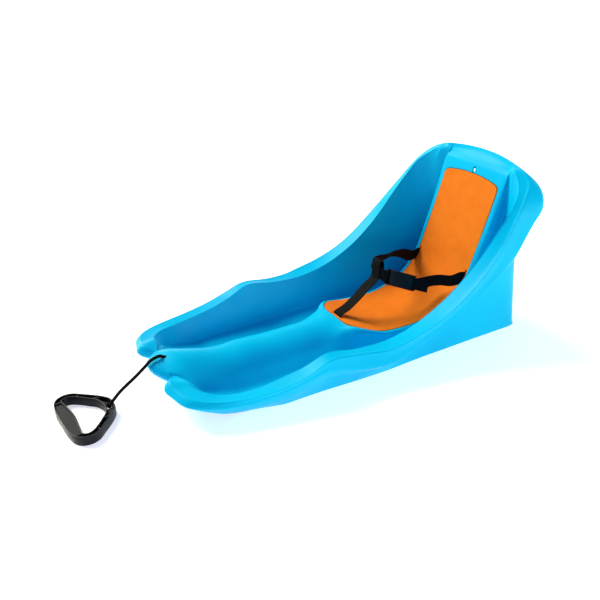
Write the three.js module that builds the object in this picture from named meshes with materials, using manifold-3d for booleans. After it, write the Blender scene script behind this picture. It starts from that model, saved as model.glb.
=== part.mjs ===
// Baby pull sled: a one-skin moulded hull with two foot wells and a high seat back, a foam pad,
// a three-point lap harness with a side-release buckle, and a pull cord with a rounded D handle.
// Millimetres, +Z up, the nose toward -Y, the rider's left toward +X, standing on Z = 0.

import * as THREE from 'three';
import { mergeVertices, mergeGeometries } from 'three/addons/utils/BufferGeometryUtils.js';
import Module from 'manifold-3d';

const wasm = await Module();
wasm.setup();

// Hull
const hullLength = 776;
const hullHalfWidth = 191;
const hullHeight = 343;
const hullWall = 3;
const edgeBorder = 8;
const bedBorder = 12;

// Seat pad: the seat's edge as a share of the half width, the pad's ends as shares of the length,
// and how it is let into the seat
const seatEdgeShare = 0.4476;
const padHalfWidth = seatEdgeShare * hullHalfWidth - edgeBorder;
const padThickness = 5;
const padProud = 1.5;
const padClearance = 1.5;
const padFrontShare = 0.511;
const padTopShare = 0.9455;
const padFrontRound = 90;
const padFrontPower = 4.5;
const padTopRise = 9;
const padTopRound = 10;
const padTopPower = 16;

// Webbing and its slots
const webbingWidth = 25;
const webbingThickness = 1.6;
const tailLength = 34;
const slotWidth = 4.4;
const slotEndPlay = 4.5;
const slotSag = 1.5;
const crotchSlotInset = 5.7;
const waistSlotInset = 3.9;
const waistSlotShare = 0.592;

// Stoppers that hold the webbing under the hull
const stopperWidth = 11;
const stopperThickness = 4;
const stopperOverlap = 6;
const crotchStopperDrop = 1.8;

// Pull cord
const cordDiameter = 6;
const cordHolePlay = 1.2;
const knotDiameter = 11;

// Pull handle, lying on the ground ahead of the nose
const handleReach = 163;
const handleWidth = 136;
const handleDepth = 92;
const handleHeight = 18;
const handleRim = 2.4;
const handleWeb = 3;
const handleRib = 2.4;
const handleBar = 21;
const handleTurn = 4.5;
const handleX = 10.3;

// Buckle
const buckleWidth = 33;
const buckleThickness = 9.6;
const buckleWall = 1.8;
const buckleSide = 2.5;
const housingLength = 51;
const mouthDepth = 30;
const clipLength = 17;
const tongueWidth = 5;
const prongLength = 25;
const prongThickness = 3.2;
const prongHead = 12;
const barDiameter = 3.4;
const ribHeight = 0.5;

// Hanging hole in the seat back, and the grip window in the back below the rim
const hangHoleLength = 14;
const hangHoleWidth = 7.5;
const gripWidth = 112;
const gripHeight = 42;

// Fits
const gap = 0.3;
const overrun = 40;

const plastic = (color, roughness) => new THREE.MeshStandardMaterial({ color, roughness, metalness: 0 });
const hullBlue = 0x00a9e0;
const foamOrange = 0xe87722;
const webbingBlack = 0x18181a;
const mouldedBlack = 0x1c1c1e;

// A place in the hull: shares of the half width, of the length from the nose tip, and of the height.
const at = (x, y, z) => new THREE.Vector3(x * hullHalfWidth, y * hullLength, z * hullHeight);

// Boolean helpers on closed meshes.
function toSolid(geometry) {
  const bare = geometry.clone();
  for (const name of ['normal', 'uv']) bare.deleteAttribute(name);
  const merged = mergeVertices(bare, gap / 1000);
  const vertProperties = new Float32Array(merged.attributes.position.array);
  const triVerts = new Uint32Array(merged.index.array);
  return new wasm.Manifold(new wasm.Mesh({ numProp: 3, vertProperties, triVerts }));
}

function toGeometry(solid) {
  const mesh = solid.getMesh();
  const geometry = new THREE.BufferGeometry();
  geometry.setAttribute('position', new THREE.BufferAttribute(new Float32Array(mesh.vertProperties), 3));
  geometry.setIndex(new THREE.BufferAttribute(new Uint32Array(mesh.triVerts), 1));
  return geometry;
}

const cut = (body, ...tools) =>
  toGeometry(tools.reduce((rest, tool) => rest.subtract(toSolid(tool)), toSolid(body)));
const join = (body, ...others) =>
  toGeometry(others.reduce((sum, one) => sum.add(toSolid(one)), toSolid(body)));

// A box with one corner low and the other high.
function box(x0, x1, y0, y1, z0, z1) {
  const geometry = new THREE.BoxGeometry(x1 - x0, y1 - y0, z1 - z0);
  return geometry.translate((x0 + x1) / 2, (y0 + y1) / 2, (z0 + z1) / 2);
}

// Geometry from a list of quads or triangles given as points.
function fromFaces(faces) {
  const positions = [];
  const push = (p) => positions.push(p.x, p.y, p.z);
  for (const [a, b, c, d] of faces) {
    [a, b, c].forEach(push);
    if (d) [a, c, d].forEach(push);
  }
  const geometry = new THREE.BufferGeometry();
  geometry.setAttribute('position', new THREE.Float32BufferAttribute(positions, 3));
  return mergeVertices(geometry, gap / 1000);
}

// Quads of a grid of points, rows along the first index.
function gridFaces(grid) {
  const faces = [];
  for (let i = 0; i + 1 < grid.length; i++) {
    for (let j = 0; j + 1 < grid[i].length; j++) {
      faces.push([grid[i][j], grid[i][j + 1], grid[i + 1][j + 1], grid[i + 1][j]]);
    }
  }
  return faces;
}

// Places along the hull, from the nose to the top of the seat back. Shares of the half width, the
// length and the height. spine: y, z on the centre line. edge: x, z of the raised middle's edge.
// foot: x, y, z where the middle meets the foot well, wall: x, y, z where the well meets the side.
// rim: the inner rim. ridge: the outer edge of the flange. fold: the lower edge of the band below it.
// skirt: where the skirt starts under the band. ground: the lowest edge. A well's floor height of 0
// is the hull's wall.
const stationShares = [
  { spine: [0.033, 0.204], edge: [0.2, 0.18], foot: [0.215, 0.037, 0.166], wall: [0.235, 0.041, 0.162],
    rim: [0.262, 0.045, 0.166], ridge: [0.24, 0.034, 0.16], fold: [0.235, 0.032, 0.13],
    skirt: [0.234, 0.036, 0.12], ground: [0.232, 0.041, 0.11] },
  { spine: [0.062, 0.21], edge: [0.237, 0.168], foot: [0.32, 0.068, 0.132], wall: [0.375, 0.068, 0.138],
    rim: [0.42, 0.054, 0.177], ridge: [0.345, 0.019, 0.186], fold: [0.35, 0.006, 0.137],
    skirt: [0.345, 0.012, 0.122], ground: [0.335, 0.024, 0.114] },
  { spine: [0.089, 0.201], edge: [0.24, 0.138], foot: [0.345, 0.094, 0.07], wall: [0.452, 0.084, 0.1],
    rim: [0.496, 0.057, 0.168], ridge: [0.469, 0.021, 0.171], fold: [0.485, 0.012, 0.132],
    skirt: [0.473, 0.024, 0.113], ground: [0.46, 0.035, 0.1] },
  { spine: [0.121, 0.183], edge: [0.253, 0.102], foot: [0.372, 0.126, 0.038], wall: [0.539, 0.107, 0.06],
    rim: [0.63, 0.085, 0.153], ridge: [0.658, 0.041, 0.159], fold: [0.663, 0.029, 0.123],
    skirt: [0.637, 0.042, 0.097], ground: [0.61, 0.055, 0.08] },
  { spine: [0.155, 0.162], edge: [0.259, 0.081], foot: [0.394, 0.16, 0.022], wall: [0.604, 0.15, 0.024],
    rim: [0.709, 0.13, 0.141], ridge: [0.787, 0.09, 0.147], fold: [0.798, 0.086, 0.114],
    skirt: [0.754, 0.096, 0.07], ground: [0.71, 0.105, 0.04] },
  { spine: [0.195, 0.15], edge: [0.264, 0.072], foot: [0.41, 0.2, 0], wall: [0.636, 0.198, 0],
    rim: [0.755, 0.191, 0.147], ridge: [0.879, 0.171, 0.144], fold: [0.868, 0.17, 0.108],
    skirt: [0.819, 0.173, 0.059], ground: [0.706, 0.179, 0] },
  { spine: [0.237, 0.156], edge: [0.27, 0.069], foot: [0.42, 0.243, 0], wall: [0.652, 0.243, 0],
    rim: [0.771, 0.251, 0.171], ridge: [0.922, 0.244, 0.162], fold: [0.9, 0.244, 0.126],
    skirt: [0.857, 0.245, 0.069], ground: [0.776, 0.248, 0] },
  { spine: [0.297, 0.146], edge: [0.27, 0.066], foot: [0.42, 0.301, 0], wall: [0.652, 0.301, 0],
    rim: [0.795, 0.298, 0.198], ridge: [0.935, 0.296, 0.195], fold: [0.911, 0.296, 0.15],
    skirt: [0.859, 0.297, 0.082], ground: [0.782, 0.298, 0] },
  { spine: [0.363, 0.141], edge: [0.27, 0.066], foot: [0.42, 0.367, 0], wall: [0.658, 0.367, 0],
    rim: [0.814, 0.357, 0.246], ridge: [0.933, 0.354, 0.237], fold: [0.922, 0.354, 0.171],
    skirt: [0.868, 0.356, 0.111], ground: [0.787, 0.359, 0] },
  { spine: [0.436, 0.143], edge: [0.27, 0.069], foot: [0.42, 0.436, 0], wall: [0.668, 0.436, 0],
    rim: [0.822, 0.428, 0.219], ridge: [0.935, 0.424, 0.219], fold: [0.927, 0.424, 0.129],
    skirt: [0.877, 0.426, 0.09], ground: [0.803, 0.428, 0] },
  { spine: [0.496, 0.147], edge: [0.27, 0.12], foot: [0.426, 0.496, 0], wall: [0.679, 0.496, 0],
    rim: [0.822, 0.496, 0.207], ridge: [0.981, 0.496, 0.204], fold: [0.965, 0.496, 0.108],
    skirt: [0.889, 0.496, 0.07], ground: [0.814, 0.496, 0] },
  { spine: [0.524, 0.141], edge: [0.345, 0.141], foot: [0.452, 0.527, 0], wall: [0.685, 0.529, 0],
    rim: [0.822, 0.532, 0.21], ridge: [0.997, 0.534, 0.215], fold: [0.976, 0.534, 0.114],
    skirt: [0.881, 0.534, 0.08], ground: [0.817, 0.534, 0] },
  { spine: [0.589, 0.099], edge: [0.426, 0.099], foot: [0.474, 0.589, 0], wall: [0.685, 0.589, 0],
    rim: [0.819, 0.589, 0.234], ridge: [1, 0.589, 0.24], fold: [0.971, 0.589, 0.15],
    skirt: [0.841, 0.589, 0.12], ground: [0.809, 0.589, 0] },
  { spine: [0.651, 0.084], edge: [0.442, 0.084], foot: [0.48, 0.651, 0], wall: [0.685, 0.651, 0],
    rim: [0.817, 0.649, 0.285], ridge: [0.997, 0.65, 0.285], fold: [0.965, 0.655, 0.204],
    skirt: [0.823, 0.652, 0.186], ground: [0.8, 0.651, 0] },
  { spine: [0.728, 0.092], edge: [0.447, 0.092], foot: [0.49, 0.728, 0], wall: [0.685, 0.733, 0],
    rim: [0.817, 0.716, 0.372], ridge: [0.992, 0.711, 0.357], fold: [0.965, 0.721, 0.264],
    skirt: [0.821, 0.721, 0.248], ground: [0.8, 0.721, 0] },
  { spine: [0.814, 0.168], edge: [0.453, 0.168], foot: [0.496, 0.834, 0], wall: [0.69, 0.834, 0],
    rim: [0.82, 0.788, 0.514], ridge: [0.987, 0.781, 0.48], fold: [0.96, 0.792, 0.351],
    skirt: [0.819, 0.794, 0.333], ground: [0.798, 0.794, 0] },
  { spine: [0.863, 0.294], edge: [0.458, 0.294], foot: [0.496, 0.924, 0.02], wall: [0.695, 0.914, 0.03],
    rim: [0.82, 0.847, 0.667], ridge: [0.96, 0.841, 0.613], fold: [0.96, 0.85, 0.453],
    skirt: [0.817, 0.861, 0.435], ground: [0.798, 0.863, 0] },
  { spine: [0.89, 0.45], edge: [0.464, 0.45], foot: [0.496, 0.953, 0.24], wall: [0.69, 0.942, 0.33],
    rim: [0.814, 0.885, 0.763], ridge: [0.916, 0.885, 0.727], fold: [0.943, 0.894, 0.529],
    skirt: [0.8, 0.912, 0.513], ground: [0.798, 0.919, 0] },
  { spine: [0.915, 0.625], edge: [0.464, 0.625], foot: [0.49, 0.952, 0.571], wall: [0.645, 0.94, 0.646],
    rim: [0.782, 0.914, 0.847], ridge: [0.852, 0.926, 0.844], fold: [0.927, 0.94, 0.69],
    skirt: [0.752, 0.932, 0.66], ground: [0.787, 0.964, 0] },
  { spine: [0.935, 0.775], edge: [0.464, 0.775], foot: [0.485, 0.956, 0.757], wall: [0.59, 0.943, 0.835],
    rim: [0.701, 0.935, 0.901], ridge: [0.771, 0.958, 0.916], fold: [0.9, 0.971, 0.772],
    skirt: [0.601, 0.966, 0.745], ground: [0.733, 0.981, 0] },
  { spine: [0.951, 0.901], edge: [0.464, 0.901], foot: [0.474, 0.957, 0.916], wall: [0.545, 0.947, 0.94],
    rim: [0.582, 0.948, 0.949], ridge: [0.625, 0.968, 0.961], fold: [0.782, 0.992, 0.826],
    skirt: [0.431, 0.983, 0.8], ground: [0.604, 0.988, 0] },
  { spine: [0.962, 0.943], edge: [0.453, 0.94], foot: [0.459, 0.959, 0.943], wall: [0.485, 0.958, 0.949],
    rim: [0.501, 0.956, 0.952], ridge: [0.496, 0.969, 0.982], fold: [0.539, 0.996, 0.853],
    skirt: [0.323, 0.986, 0.835], ground: [0.453, 0.991, 0] },
];

// The centre line's outer edge at the two ends: ridge, fold, skirt's top and lowest edge, as y, z.
const noseTipShares = {
  ridge: [0.013, 0.2], fold: [0, 0.17], skirt: [0.002, 0.15], ground: [0.008, 0.136],
};
const backTopShares = { ridge: [0.983, 1], fold: [1, 0.88], skirt: [0.988, 0.89], ground: [0.996, 0] };

// Hand-chosen places as shares like those of the stations: x of the half width, y of the length from
// the nose tip, z of the height. The hanging hole, and the grip window behind it.
const hangHoleShares = [0, 0.954, 0.886];
const gripShares = [0, 1, 0.805];

// The straps' free spans between slot and buckle, and the buckle's two ends with its way across.
// A fourth value is how far the strap's upper edge leans toward +X.
const crotchShares = [[0, 0.546, 0.18], [-0.011, 0.583, 0.23], [-0.025, 0.615, 0.28]];
const waistRightShares = [
  [-0.352, 0.828, 0.298, 0.1], [-0.308, 0.788, 0.345, 0.5], [-0.25, 0.743, 0.378, 0.8],
  [-0.183, 0.7, 0.388, 0.7],
  [-0.167, 0.672, 0.392, 0.4], [-0.155, 0.656, 0.392, 0.4], [-0.13, 0.65, 0.39, 0.4],
  [-0.043, 0.65, 0.373, 0.4], [0.034, 0.65, 0.357, 0.4], [0.05, 0.6555, 0.345, 0]];
const waistLeftShares = [
  [0.34, 0.832, 0.278, 0], [0.243, 0.812, 0.268, 0], [0.183, 0.795, 0.257, 0]];
const buckleShares = {
  clip: [0.032, 0.667, 0.327],
  housing: [0.146, 0.745, 0.258],
  across: [-0.344, 0.445, 0.826],
};

// The loop at the crotch strap's end: its centre, and its ring in Y and Z as shares of the webbing's
// width.
const loopShares = {
  centre: [-0.043, 0.65, 0.373],
  ring: [[-0.26, -0.86], [-0.17, -0.55], [-0.13, 0.65], [-0.04, 0.79], [0.16, 0.79], [0.24, 0.65],
    [0.24, -0.65], [0.1, -0.82]],
};

// How far the cord's hole is cut along the first three places of the cord's route.
const cordHoleReachShare = 1.4;

// The cord's route, from inside the nose through its hole, over the front and down to the handle.
const cordShares = [
  [0, 0.059, 0.159], [0, 0.05, 0.181], [0, 0.041, 0.203], [0.003, 0.029, 0.219], [0.008, 0.017, 0.217],
  [0.016, 0.004, 0.208], [0.022, -0.007, 0.19], [0.038, -0.034, 0.151], [0.054, -0.073, 0.097]];

// The handle's outlines from the apex to the middle of its bar, and its ribs with their turn.
const handleOuterShares = [[0, 0], [0.1, -0.012], [0.165, -0.07], [0.24, -0.163], [0.363, -0.355],
  [0.474, -0.545], [0.5, -0.69], [0.472, -0.845], [0.4, -0.94], [0.26, -0.99], [0, -1]];
const handleInnerShares = [[0, -0.18], [0.08, -0.195], [0.17, -0.25], [0.25, -0.36], [0.33, -0.47],
  [0.41, -0.62], [0.425, -0.71], [0.395, -0.785], [0.28, -0.775], [0, -0.735]];
const handleRibShares = [[0.42, -0.48, -60], [-0.42, -0.48, 60], [0.2, -0.13, 20], [-0.2, -0.13, -20],
  [0.38, -0.87, 0], [-0.38, -0.87, 0]];

// How the surface is divided: steps per station, across the middle, and up the side wall.
const stepsPerStation = 2;
const middleShares = [0, 0.35, 0.7, 1];
const flankShares = [0.5];
const floorShares = [0.5];
const sideWallShares = [[0.25, 0.06], [0.48, 0.42]];
const flatWallShare = 0.33;
const bellyShares = [0.9, 0.5];
const noseBowPower = 1.8;
const backBowPower = 2;

// A smooth curve through one point per station, sampled at every step.
function along(points) {
  const curve = new THREE.CatmullRomCurve3(points, false, 'centripetal');
  const steps = (points.length - 1) * stepsPerStation;
  return Array.from({ length: steps + 1 }, (_, i) => curve.getPoint(i / steps));
}

const lerp = (a, b, t) => a.clone().lerp(b, t);

// The named curves of the half hull, one point per step.
function hullCurves() {
  const pick = (make) => along(stationShares.map(make));
  const floor = (p) => p.setZ(Math.max(p.z, hullWall));
  const spine = pick((s) => at(0, ...s.spine));
  const edge = pick((s) => at(s.edge[0], s.spine[0], s.edge[1]));
  const foot = pick((s) => at(...s.foot)).map(floor);
  const wall = pick((s) => at(...s.wall)).map(floor);
  const rim = pick((s) => at(...s.rim));
  const ridge = pick((s) => at(...s.ridge));
  const fold = pick((s) => at(...s.fold));
  const ground = pick((s) => at(...s.ground)).map((p) => p.setZ(Math.max(p.z, 0)));
  const skirt = pick((s) => at(...s.skirt));
  const [outward, downward] = bellyShares;
  const belly = ridge.map((p, i) => lerp(p, fold[i], outward).setZ(lerp(p, fold[i], downward).z));
  return { spine, edge, foot, wall, rim, ridge, belly, fold, skirt, ground };
}

// Across the raised middle, from the centre line to its edge.
function middleRow(spine, edge) {
  return middleShares.map((t) => new THREE.Vector3(
    edge.x * t, spine.y + (edge.y - spine.y) * t * t, spine.z + (edge.z - spine.z) * t * t));
}

// From the middle's edge down into the well and up the side wall to the rim. The wall's hollow foot
// straightens out as the wall leaves the ground.
function sideRow(edge, foot, wall, rim) {
  const flank = flankShares.map((t) => lerp(edge, foot, t));
  const floor = floorShares.map((t) => lerp(foot, wall, t));
  const flat = Math.min((wall.z - hullWall) / (flatWallShare * hullHeight), 1);
  const side = sideWallShares.map(([across, up]) =>
    lerp(wall, rim, across).setZ(wall.z + (rim.z - wall.z) * (up + (across - up) * flat)));
  return [edge, ...flank, foot, ...floor, wall, ...side, rim];
}

// The outer band at a point of an end row, blended between that end's corner and its centre line.
function endColumn(point, corner, tip, power) {
  const t = Math.min(point.x / corner.rim.x, 1);
  const bow = Math.pow(t, power);
  const [ridge, fold] = [tip.ridge, tip.fold];
  const belly = bellyShares.map((share, i) => ridge[i] + (fold[i] - ridge[i]) * share);
  const place = (name) => {
    const centre = at(0, ...(tip[name] ?? belly));
    const p = lerp(centre, corner[name], bow);
    return p.setX(corner[name].x * t);
  };
  return [point, place('ridge'), place('belly'), place('fold'), place('skirt'), place('ground')];
}

// The half hull as faces: the middle, the well with its side wall, and the outer band.
function halfHullFaces() {
  const c = hullCurves();
  const last = c.spine.length - 1;
  const middle = c.spine.map((_, i) => middleRow(c.spine[i], c.edge[i]));
  const side = c.spine.map((_, i) => sideRow(c.edge[i], c.foot[i], c.wall[i], c.rim[i]));
  const bandNames = ['rim', 'ridge', 'belly', 'fold', 'skirt', 'ground'];
  const cornerAt = (i) => Object.fromEntries(bandNames.map((name) => [name, c[name][i]]));
  const noseRow = [...middle[0], ...side[0].slice(1, -1)];
  const topRow = [...middle[last], ...side[last].slice(1, -1)].reverse();
  const columns = [
    ...noseRow.map((p) => endColumn(p, cornerAt(0), noseTipShares, noseBowPower)),
    ...c.rim.map((_, i) => Object.values(cornerAt(i))),
    ...topRow.map((p) => endColumn(p, cornerAt(last), backTopShares, backBowPower)),
  ];
  return [...gridFaces(middle), ...gridFaces(side), ...gridFaces(columns)];
}

const mirrorPoint = (p) => new THREE.Vector3(-p.x, p.y, p.z);

// Give an open sheet a thickness toward the side away from its normals, and close its edge.
function thicken(sheet, wallAt) {
  const points = [];
  const position = sheet.attributes.position;
  for (let i = 0; i < position.count; i++) {
    points.push(new THREE.Vector3().fromBufferAttribute(position, i));
  }
  const index = Array.from(sheet.index.array);
  const triangles = [];
  for (let i = 0; i < index.length; i += 3) {
    const [a, b, c] = index.slice(i, i + 3);
    if (a !== b && b !== c && c !== a) triangles.push([a, b, c]);
  }
  const normals = points.map(() => new THREE.Vector3());
  const around = points.map(() => []);
  for (const [a, b, c] of triangles) {
    const face = new THREE.Triangle(points[a], points[b], points[c]);
    const normal = face.getNormal(new THREE.Vector3());
    if (face.getArea() < gap * gap / 100) continue;
    for (const [p, q, r] of [[a, b, c], [b, c, a], [c, a, b]]) {
      const first = points[q].clone().sub(points[p]);
      const angle = first.angleTo(points[r].clone().sub(points[p]));
      normals[p].addScaledVector(normal, angle);
      around[p].push([normal, angle]);
    }
  }
  const under = points.map((p, i) => {
    const normal = normals[i].normalize();
    const total = around[i].reduce((sum, [, angle]) => sum + angle, 0);
    const spread = around[i].reduce((sum, [face, angle]) => sum + face.dot(normal) * angle, 0) / total;
    const depth = wallAt(p) / Math.max(spread, 0.5);
    const moved = p.clone().addScaledVector(normal, -depth);
    return moved.setZ(p.z < hullWall / 10 ? p.z : Math.max(moved.z, 0));
  });
  const edges = new Map();
  for (const [a, b, c] of triangles) {
    for (const [p, q] of [[a, b], [b, c], [c, a]]) {
      if (!edges.delete(`${q},${p}`)) edges.set(`${p},${q}`, [p, q]);
    }
  }
  const faces = triangles.map(([a, b, c]) => [points[a], points[b], points[c]]);
  faces.push(...triangles.map(([a, b, c]) => [under[c], under[b], under[a]]));
  faces.push(...[...edges.values()].map(([p, q]) => [points[q], points[p], under[p], under[q]]));
  return fromFaces(faces);
}

// The whole hull skin. Under the pad it is thicker by the depth that the pad's seat is sunk.
function hullSkin() {
  const half = halfHullFaces();
  const other = half.map((face) => face.map(mirrorPoint).reverse());
  const sheet = fromFaces([...half, ...other]);
  const front = padFrontShare * hullLength - edgeBorder;
  const top = padTopShare * hullLength + padClearance;
  const side = padHalfWidth + bedBorder;
  const underPad = (p) => Math.abs(p.x) < side && p.y > front && p.y < top;
  return thicken(sheet, (p) => hullWall + (underPad(p) ? seatDrop : 0));
}

const seatSamples = 2400;
const seatSampleStep = 40;

// The seat's centre line on the hull, from the pad's front end to its top end.
function seatLine() {
  const [front, top] = [padFrontShare, padTopShare].map((share) => share * hullLength);
  const line = new THREE.CatmullRomCurve3(hullCurves().spine, false, 'centripetal');
  const inside = line.getPoints(seatSamples).filter((p) => p.y >= front && p.y <= top);
  const kept = inside.filter((_, i) => i % seatSampleStep === 0 || i === inside.length - 1);
  return new THREE.CatmullRomCurve3(kept, false, 'centripetal');
}

const seat = seatLine();
const seatLength = seat.getLength();
const seatDrop = padThickness - padProud;
const underSeat = -(hullWall + seatDrop);

// A place on the seat: across, along the seat's line from the pad's front, and up from its face.
function onSeat(x, s, up) {
  const t = THREE.MathUtils.clamp(s / seatLength, 0, 1);
  const tangent = seat.getTangentAt(t);
  const p = seat.getPointAt(t).addScaledVector(tangent, s - t * seatLength);
  return new THREE.Vector3(x, p.y - tangent.z * up, p.z + tangent.y * up);
}

const spread = (count) => Array.from({ length: count + 1 }, (_, i) => i / count);
const padRowShares = spread(40);
const padHalfShares = [0.45, 0.75, 0.88, 0.95, 0.985, 1];
const padColumnShares = [...padHalfShares.map((a) => -a).reverse(), 0, ...padHalfShares];

// A slab in the pad's outline, grown sideways, between two heights over the seat's face.
function padSlab(grow, low, high) {
  const setback = (a, power) => 1 - Math.sqrt(1 - Math.min(Math.pow(Math.abs(a), power), 1));
  const place = (a, b, up) => {
    const front = padFrontRound * setback(a, padFrontPower) - grow;
    const top = seatLength + grow - padTopRise * a * a - padTopRound * setback(a, padTopPower);
    return onSeat(a * (padHalfWidth + grow), front + (top - front) * b, up);
  };
  const layer = (up) => padRowShares.map((b) => padColumnShares.map((a) => place(a, b, up)));
  return slabBetween(layer(high), layer(low));
}

// A closed body between two grids of points, the first on the outside of its faces.
function slabBetween(upper, lower) {
  const around = (grid) => [
    ...grid[0], ...grid.slice(1).map((row) => row.at(-1)),
    ...grid.at(-1).slice(0, -1).reverse(), ...grid.slice(0, -1).map((row) => row[0]).reverse()];
  const under = gridFaces(lower).map((face) => face.reverse());
  return fromFaces([...gridFaces(upper), ...under, ...gridFaces([around(lower), around(upper)])]);
}

// The slots for the webbing: one across the seat's front end, two up the sides of the seat back.
const waistSlotX = padHalfWidth - waistSlotInset;
const slotLength = webbingWidth + 2 * slotEndPlay;
const slots = {
  crotch: { x: 0, s: crotchSlotInset, lengthwise: false, sag: 0, drop: crotchStopperDrop },
  left: { x: waistSlotX, s: waistSlotShare * seatLength, lengthwise: true, sag: slotSag, drop: 0 },
  right: { x: -waistSlotX, s: waistSlotShare * seatLength, lengthwise: true, sag: slotSag, drop: 0 },
};

// A slot's frame: its centre on the seat's face, straight up, and its long and narrow ways.
function slotFrame({ x, s, lengthwise }) {
  const centre = onSeat(x, s, 0);
  const up = onSeat(x, s, padThickness).sub(centre).normalize();
  const across = new THREE.Vector3(1, 0, 0);
  const onward = new THREE.Vector3().crossVectors(up, across);
  return { centre, up, wide: lengthwise ? onward : across, narrow: lengthwise ? across : onward };
}

// A block in a slot's frame, over its centre or shifted the long way, between two heights.
function slotBlock(slot, width, thickness, low, high, shift = 0) {
  const { centre, up, wide, narrow } = slotFrame(slot);
  const turn = new THREE.Matrix4().makeBasis(wide, up, new THREE.Vector3().crossVectors(wide, up));
  const block = new THREE.BoxGeometry(width, high - low, thickness);
  block.translate(shift, (low + high) / 2, 0).applyMatrix4(turn);
  return block.translate(centre.x, centre.y, centre.z);
}

const slotCut = (slot) => slotBlock(slot, slotLength, slotWidth, -overrun, overrun);

// A round rod between two points.
function rod(from, to, radius, sides) {
  const way = to.clone().sub(from);
  const geometry = new THREE.CylinderGeometry(radius, radius, way.length(), sides);
  const upright = new THREE.Vector3(0, 1, 0);
  geometry.applyQuaternion(new THREE.Quaternion().setFromUnitVectors(upright, way.normalize()));
  const middle = lerp(from, to, 0.5);
  return geometry.translate(middle.x, middle.y, middle.z);
}

// An oval hole along Y through a place.
function ovalHole(place, width, height, depth) {
  const hole = new THREE.CylinderGeometry(1, 1, depth, 20).scale(width / 2, 1, height / 2);
  return hole.translate(place.x, place.y, place.z);
}

// The hull: the skin with the pad's bed, the slots, the cord's hole, the hanging hole and the grip
// window in the back cut out.
function hullShell() {
  const bed = padSlab(padClearance, -seatDrop, overrun);
  const hangHole = ovalHole(at(...hangHoleShares), hangHoleWidth, hangHoleLength, overrun);
  const grip = ovalHole(at(...gripShares), gripWidth, gripHeight, overrun);
  const through = lerp(cordRoute[0], cordRoute[2], cordHoleReachShare);
  const cordHole = rod(cordRoute[0], through, cordDiameter / 2 + cordHolePlay, 16);
  return cut(hullSkin(), bed, ...Object.values(slots).map(slotCut), hangHole, grip, cordHole);
}

// The pad: a flat foam sheet bent into its bed, with the three slots through it.
function seatPad() {
  return cut(padSlab(0, 2 * gap - seatDrop, padProud), ...Object.values(slots).map(slotCut));
}

const stepsPerStop = 3;

// A strip of webbing through stops, each a point and the way of its width.
function webbing(stops) {
  const path = new THREE.CatmullRomCurve3(stops.map(([p]) => p), false, 'centripetal');
  const rings = spread((stops.length - 1) * stepsPerStop).map((t) => {
    const p = path.getPoint(t);
    const onward = path.getTangent(t);
    const i = Math.min(Math.floor(t * (stops.length - 1)), stops.length - 2);
    const wide = lerp(stops[i][1], stops[i + 1][1], t * (stops.length - 1) - i);
    wide.addScaledVector(onward, -wide.dot(onward)).setLength(webbingWidth / 2);
    const thick = new THREE.Vector3().crossVectors(onward, wide).setLength(webbingThickness / 2);
    return [[-1, -1], [1, -1], [1, 1], [-1, 1], [-1, -1]].map(([a, b]) =>
      p.clone().addScaledVector(wide, a).addScaledVector(thick, b));
  });
  const ends = [rings[0].slice(0, 4).reverse(), rings.at(-1).slice(0, 4)];
  return fromFaces([...gridFaces(rings), ...ends]);
}

// The buckle's frame: X from the clip to the adjuster, Y across the webbing, Z out of its face. Its
// origin is the middle of the housing's mouth.
const buckleFrom = at(...buckleShares.clip);
const buckleX = at(...buckleShares.housing).sub(buckleFrom).normalize();
const buckleAcross = new THREE.Vector3(...buckleShares.across);
const buckleZ = new THREE.Vector3().crossVectors(buckleX, buckleAcross).normalize();
const buckleY = new THREE.Vector3().crossVectors(buckleZ, buckleX);
const buckleOrigin = buckleFrom.addScaledVector(buckleX, clipLength);
const buckleTurn = new THREE.Matrix4().makeBasis(buckleX, buckleY, buckleZ);
const inBuckle = (x, y, z) => new THREE.Vector3(x, y, z).applyMatrix4(buckleTurn).add(buckleOrigin);

// A plate with chamfered long edges between two places along X.
function plate(x0, x1, width, thickness) {
  const [w, h, c] = [width / 2, thickness / 2, thickness / 4];
  const corners = [
    [c - w, -h], [w - c, -h], [w, c - h], [w, h - c], [w - c, h], [c - w, h], [-w, h - c], [-w, c - h]];
  const outline = new THREE.Shape(corners.map(([a, b]) => new THREE.Vector2(a, b)));
  const solid = new THREE.ExtrudeGeometry(outline, { depth: x1 - x0, bevelEnabled: false });
  const toX = new THREE.Matrix4().makeBasis(
    new THREE.Vector3(0, 1, 0), new THREE.Vector3(0, 0, 1), new THREE.Vector3(1, 0, 0));
  return solid.applyMatrix4(toX).translate(x0, 0, 0);
}

const roomHalf = buckleWidth / 2 - buckleSide;
const roomHigh = buckleThickness / 2 - buckleWall;
const barRadius = barDiameter / 2;
const lacing = webbingThickness + 2 * gap;
const housingBody = housingLength - 2 * lacing - barDiameter;
const housingBarX = housingBody + lacing + barRadius;
const clipBarX = barRadius - clipLength;
const windowStart = prongLength - prongHead;

// A bar across the buckle that the webbing is laced on.
function laceBar(x) {
  const end = roomHalf + gap;
  return rod(new THREE.Vector3(x, -end, 0), new THREE.Vector3(x, end, 0), barRadius, 12);
}

// Low ribs on the buckle's face for the fingers.
function gripRibs(x, width, count) {
  const face = buckleThickness / 2;
  return Array.from({ length: count }, (_, i) => {
    const start = x + i * barDiameter;
    return box(start, start + barRadius, -width / 2, width / 2, face - ribHeight, face + ribHeight);
  });
}

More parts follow.
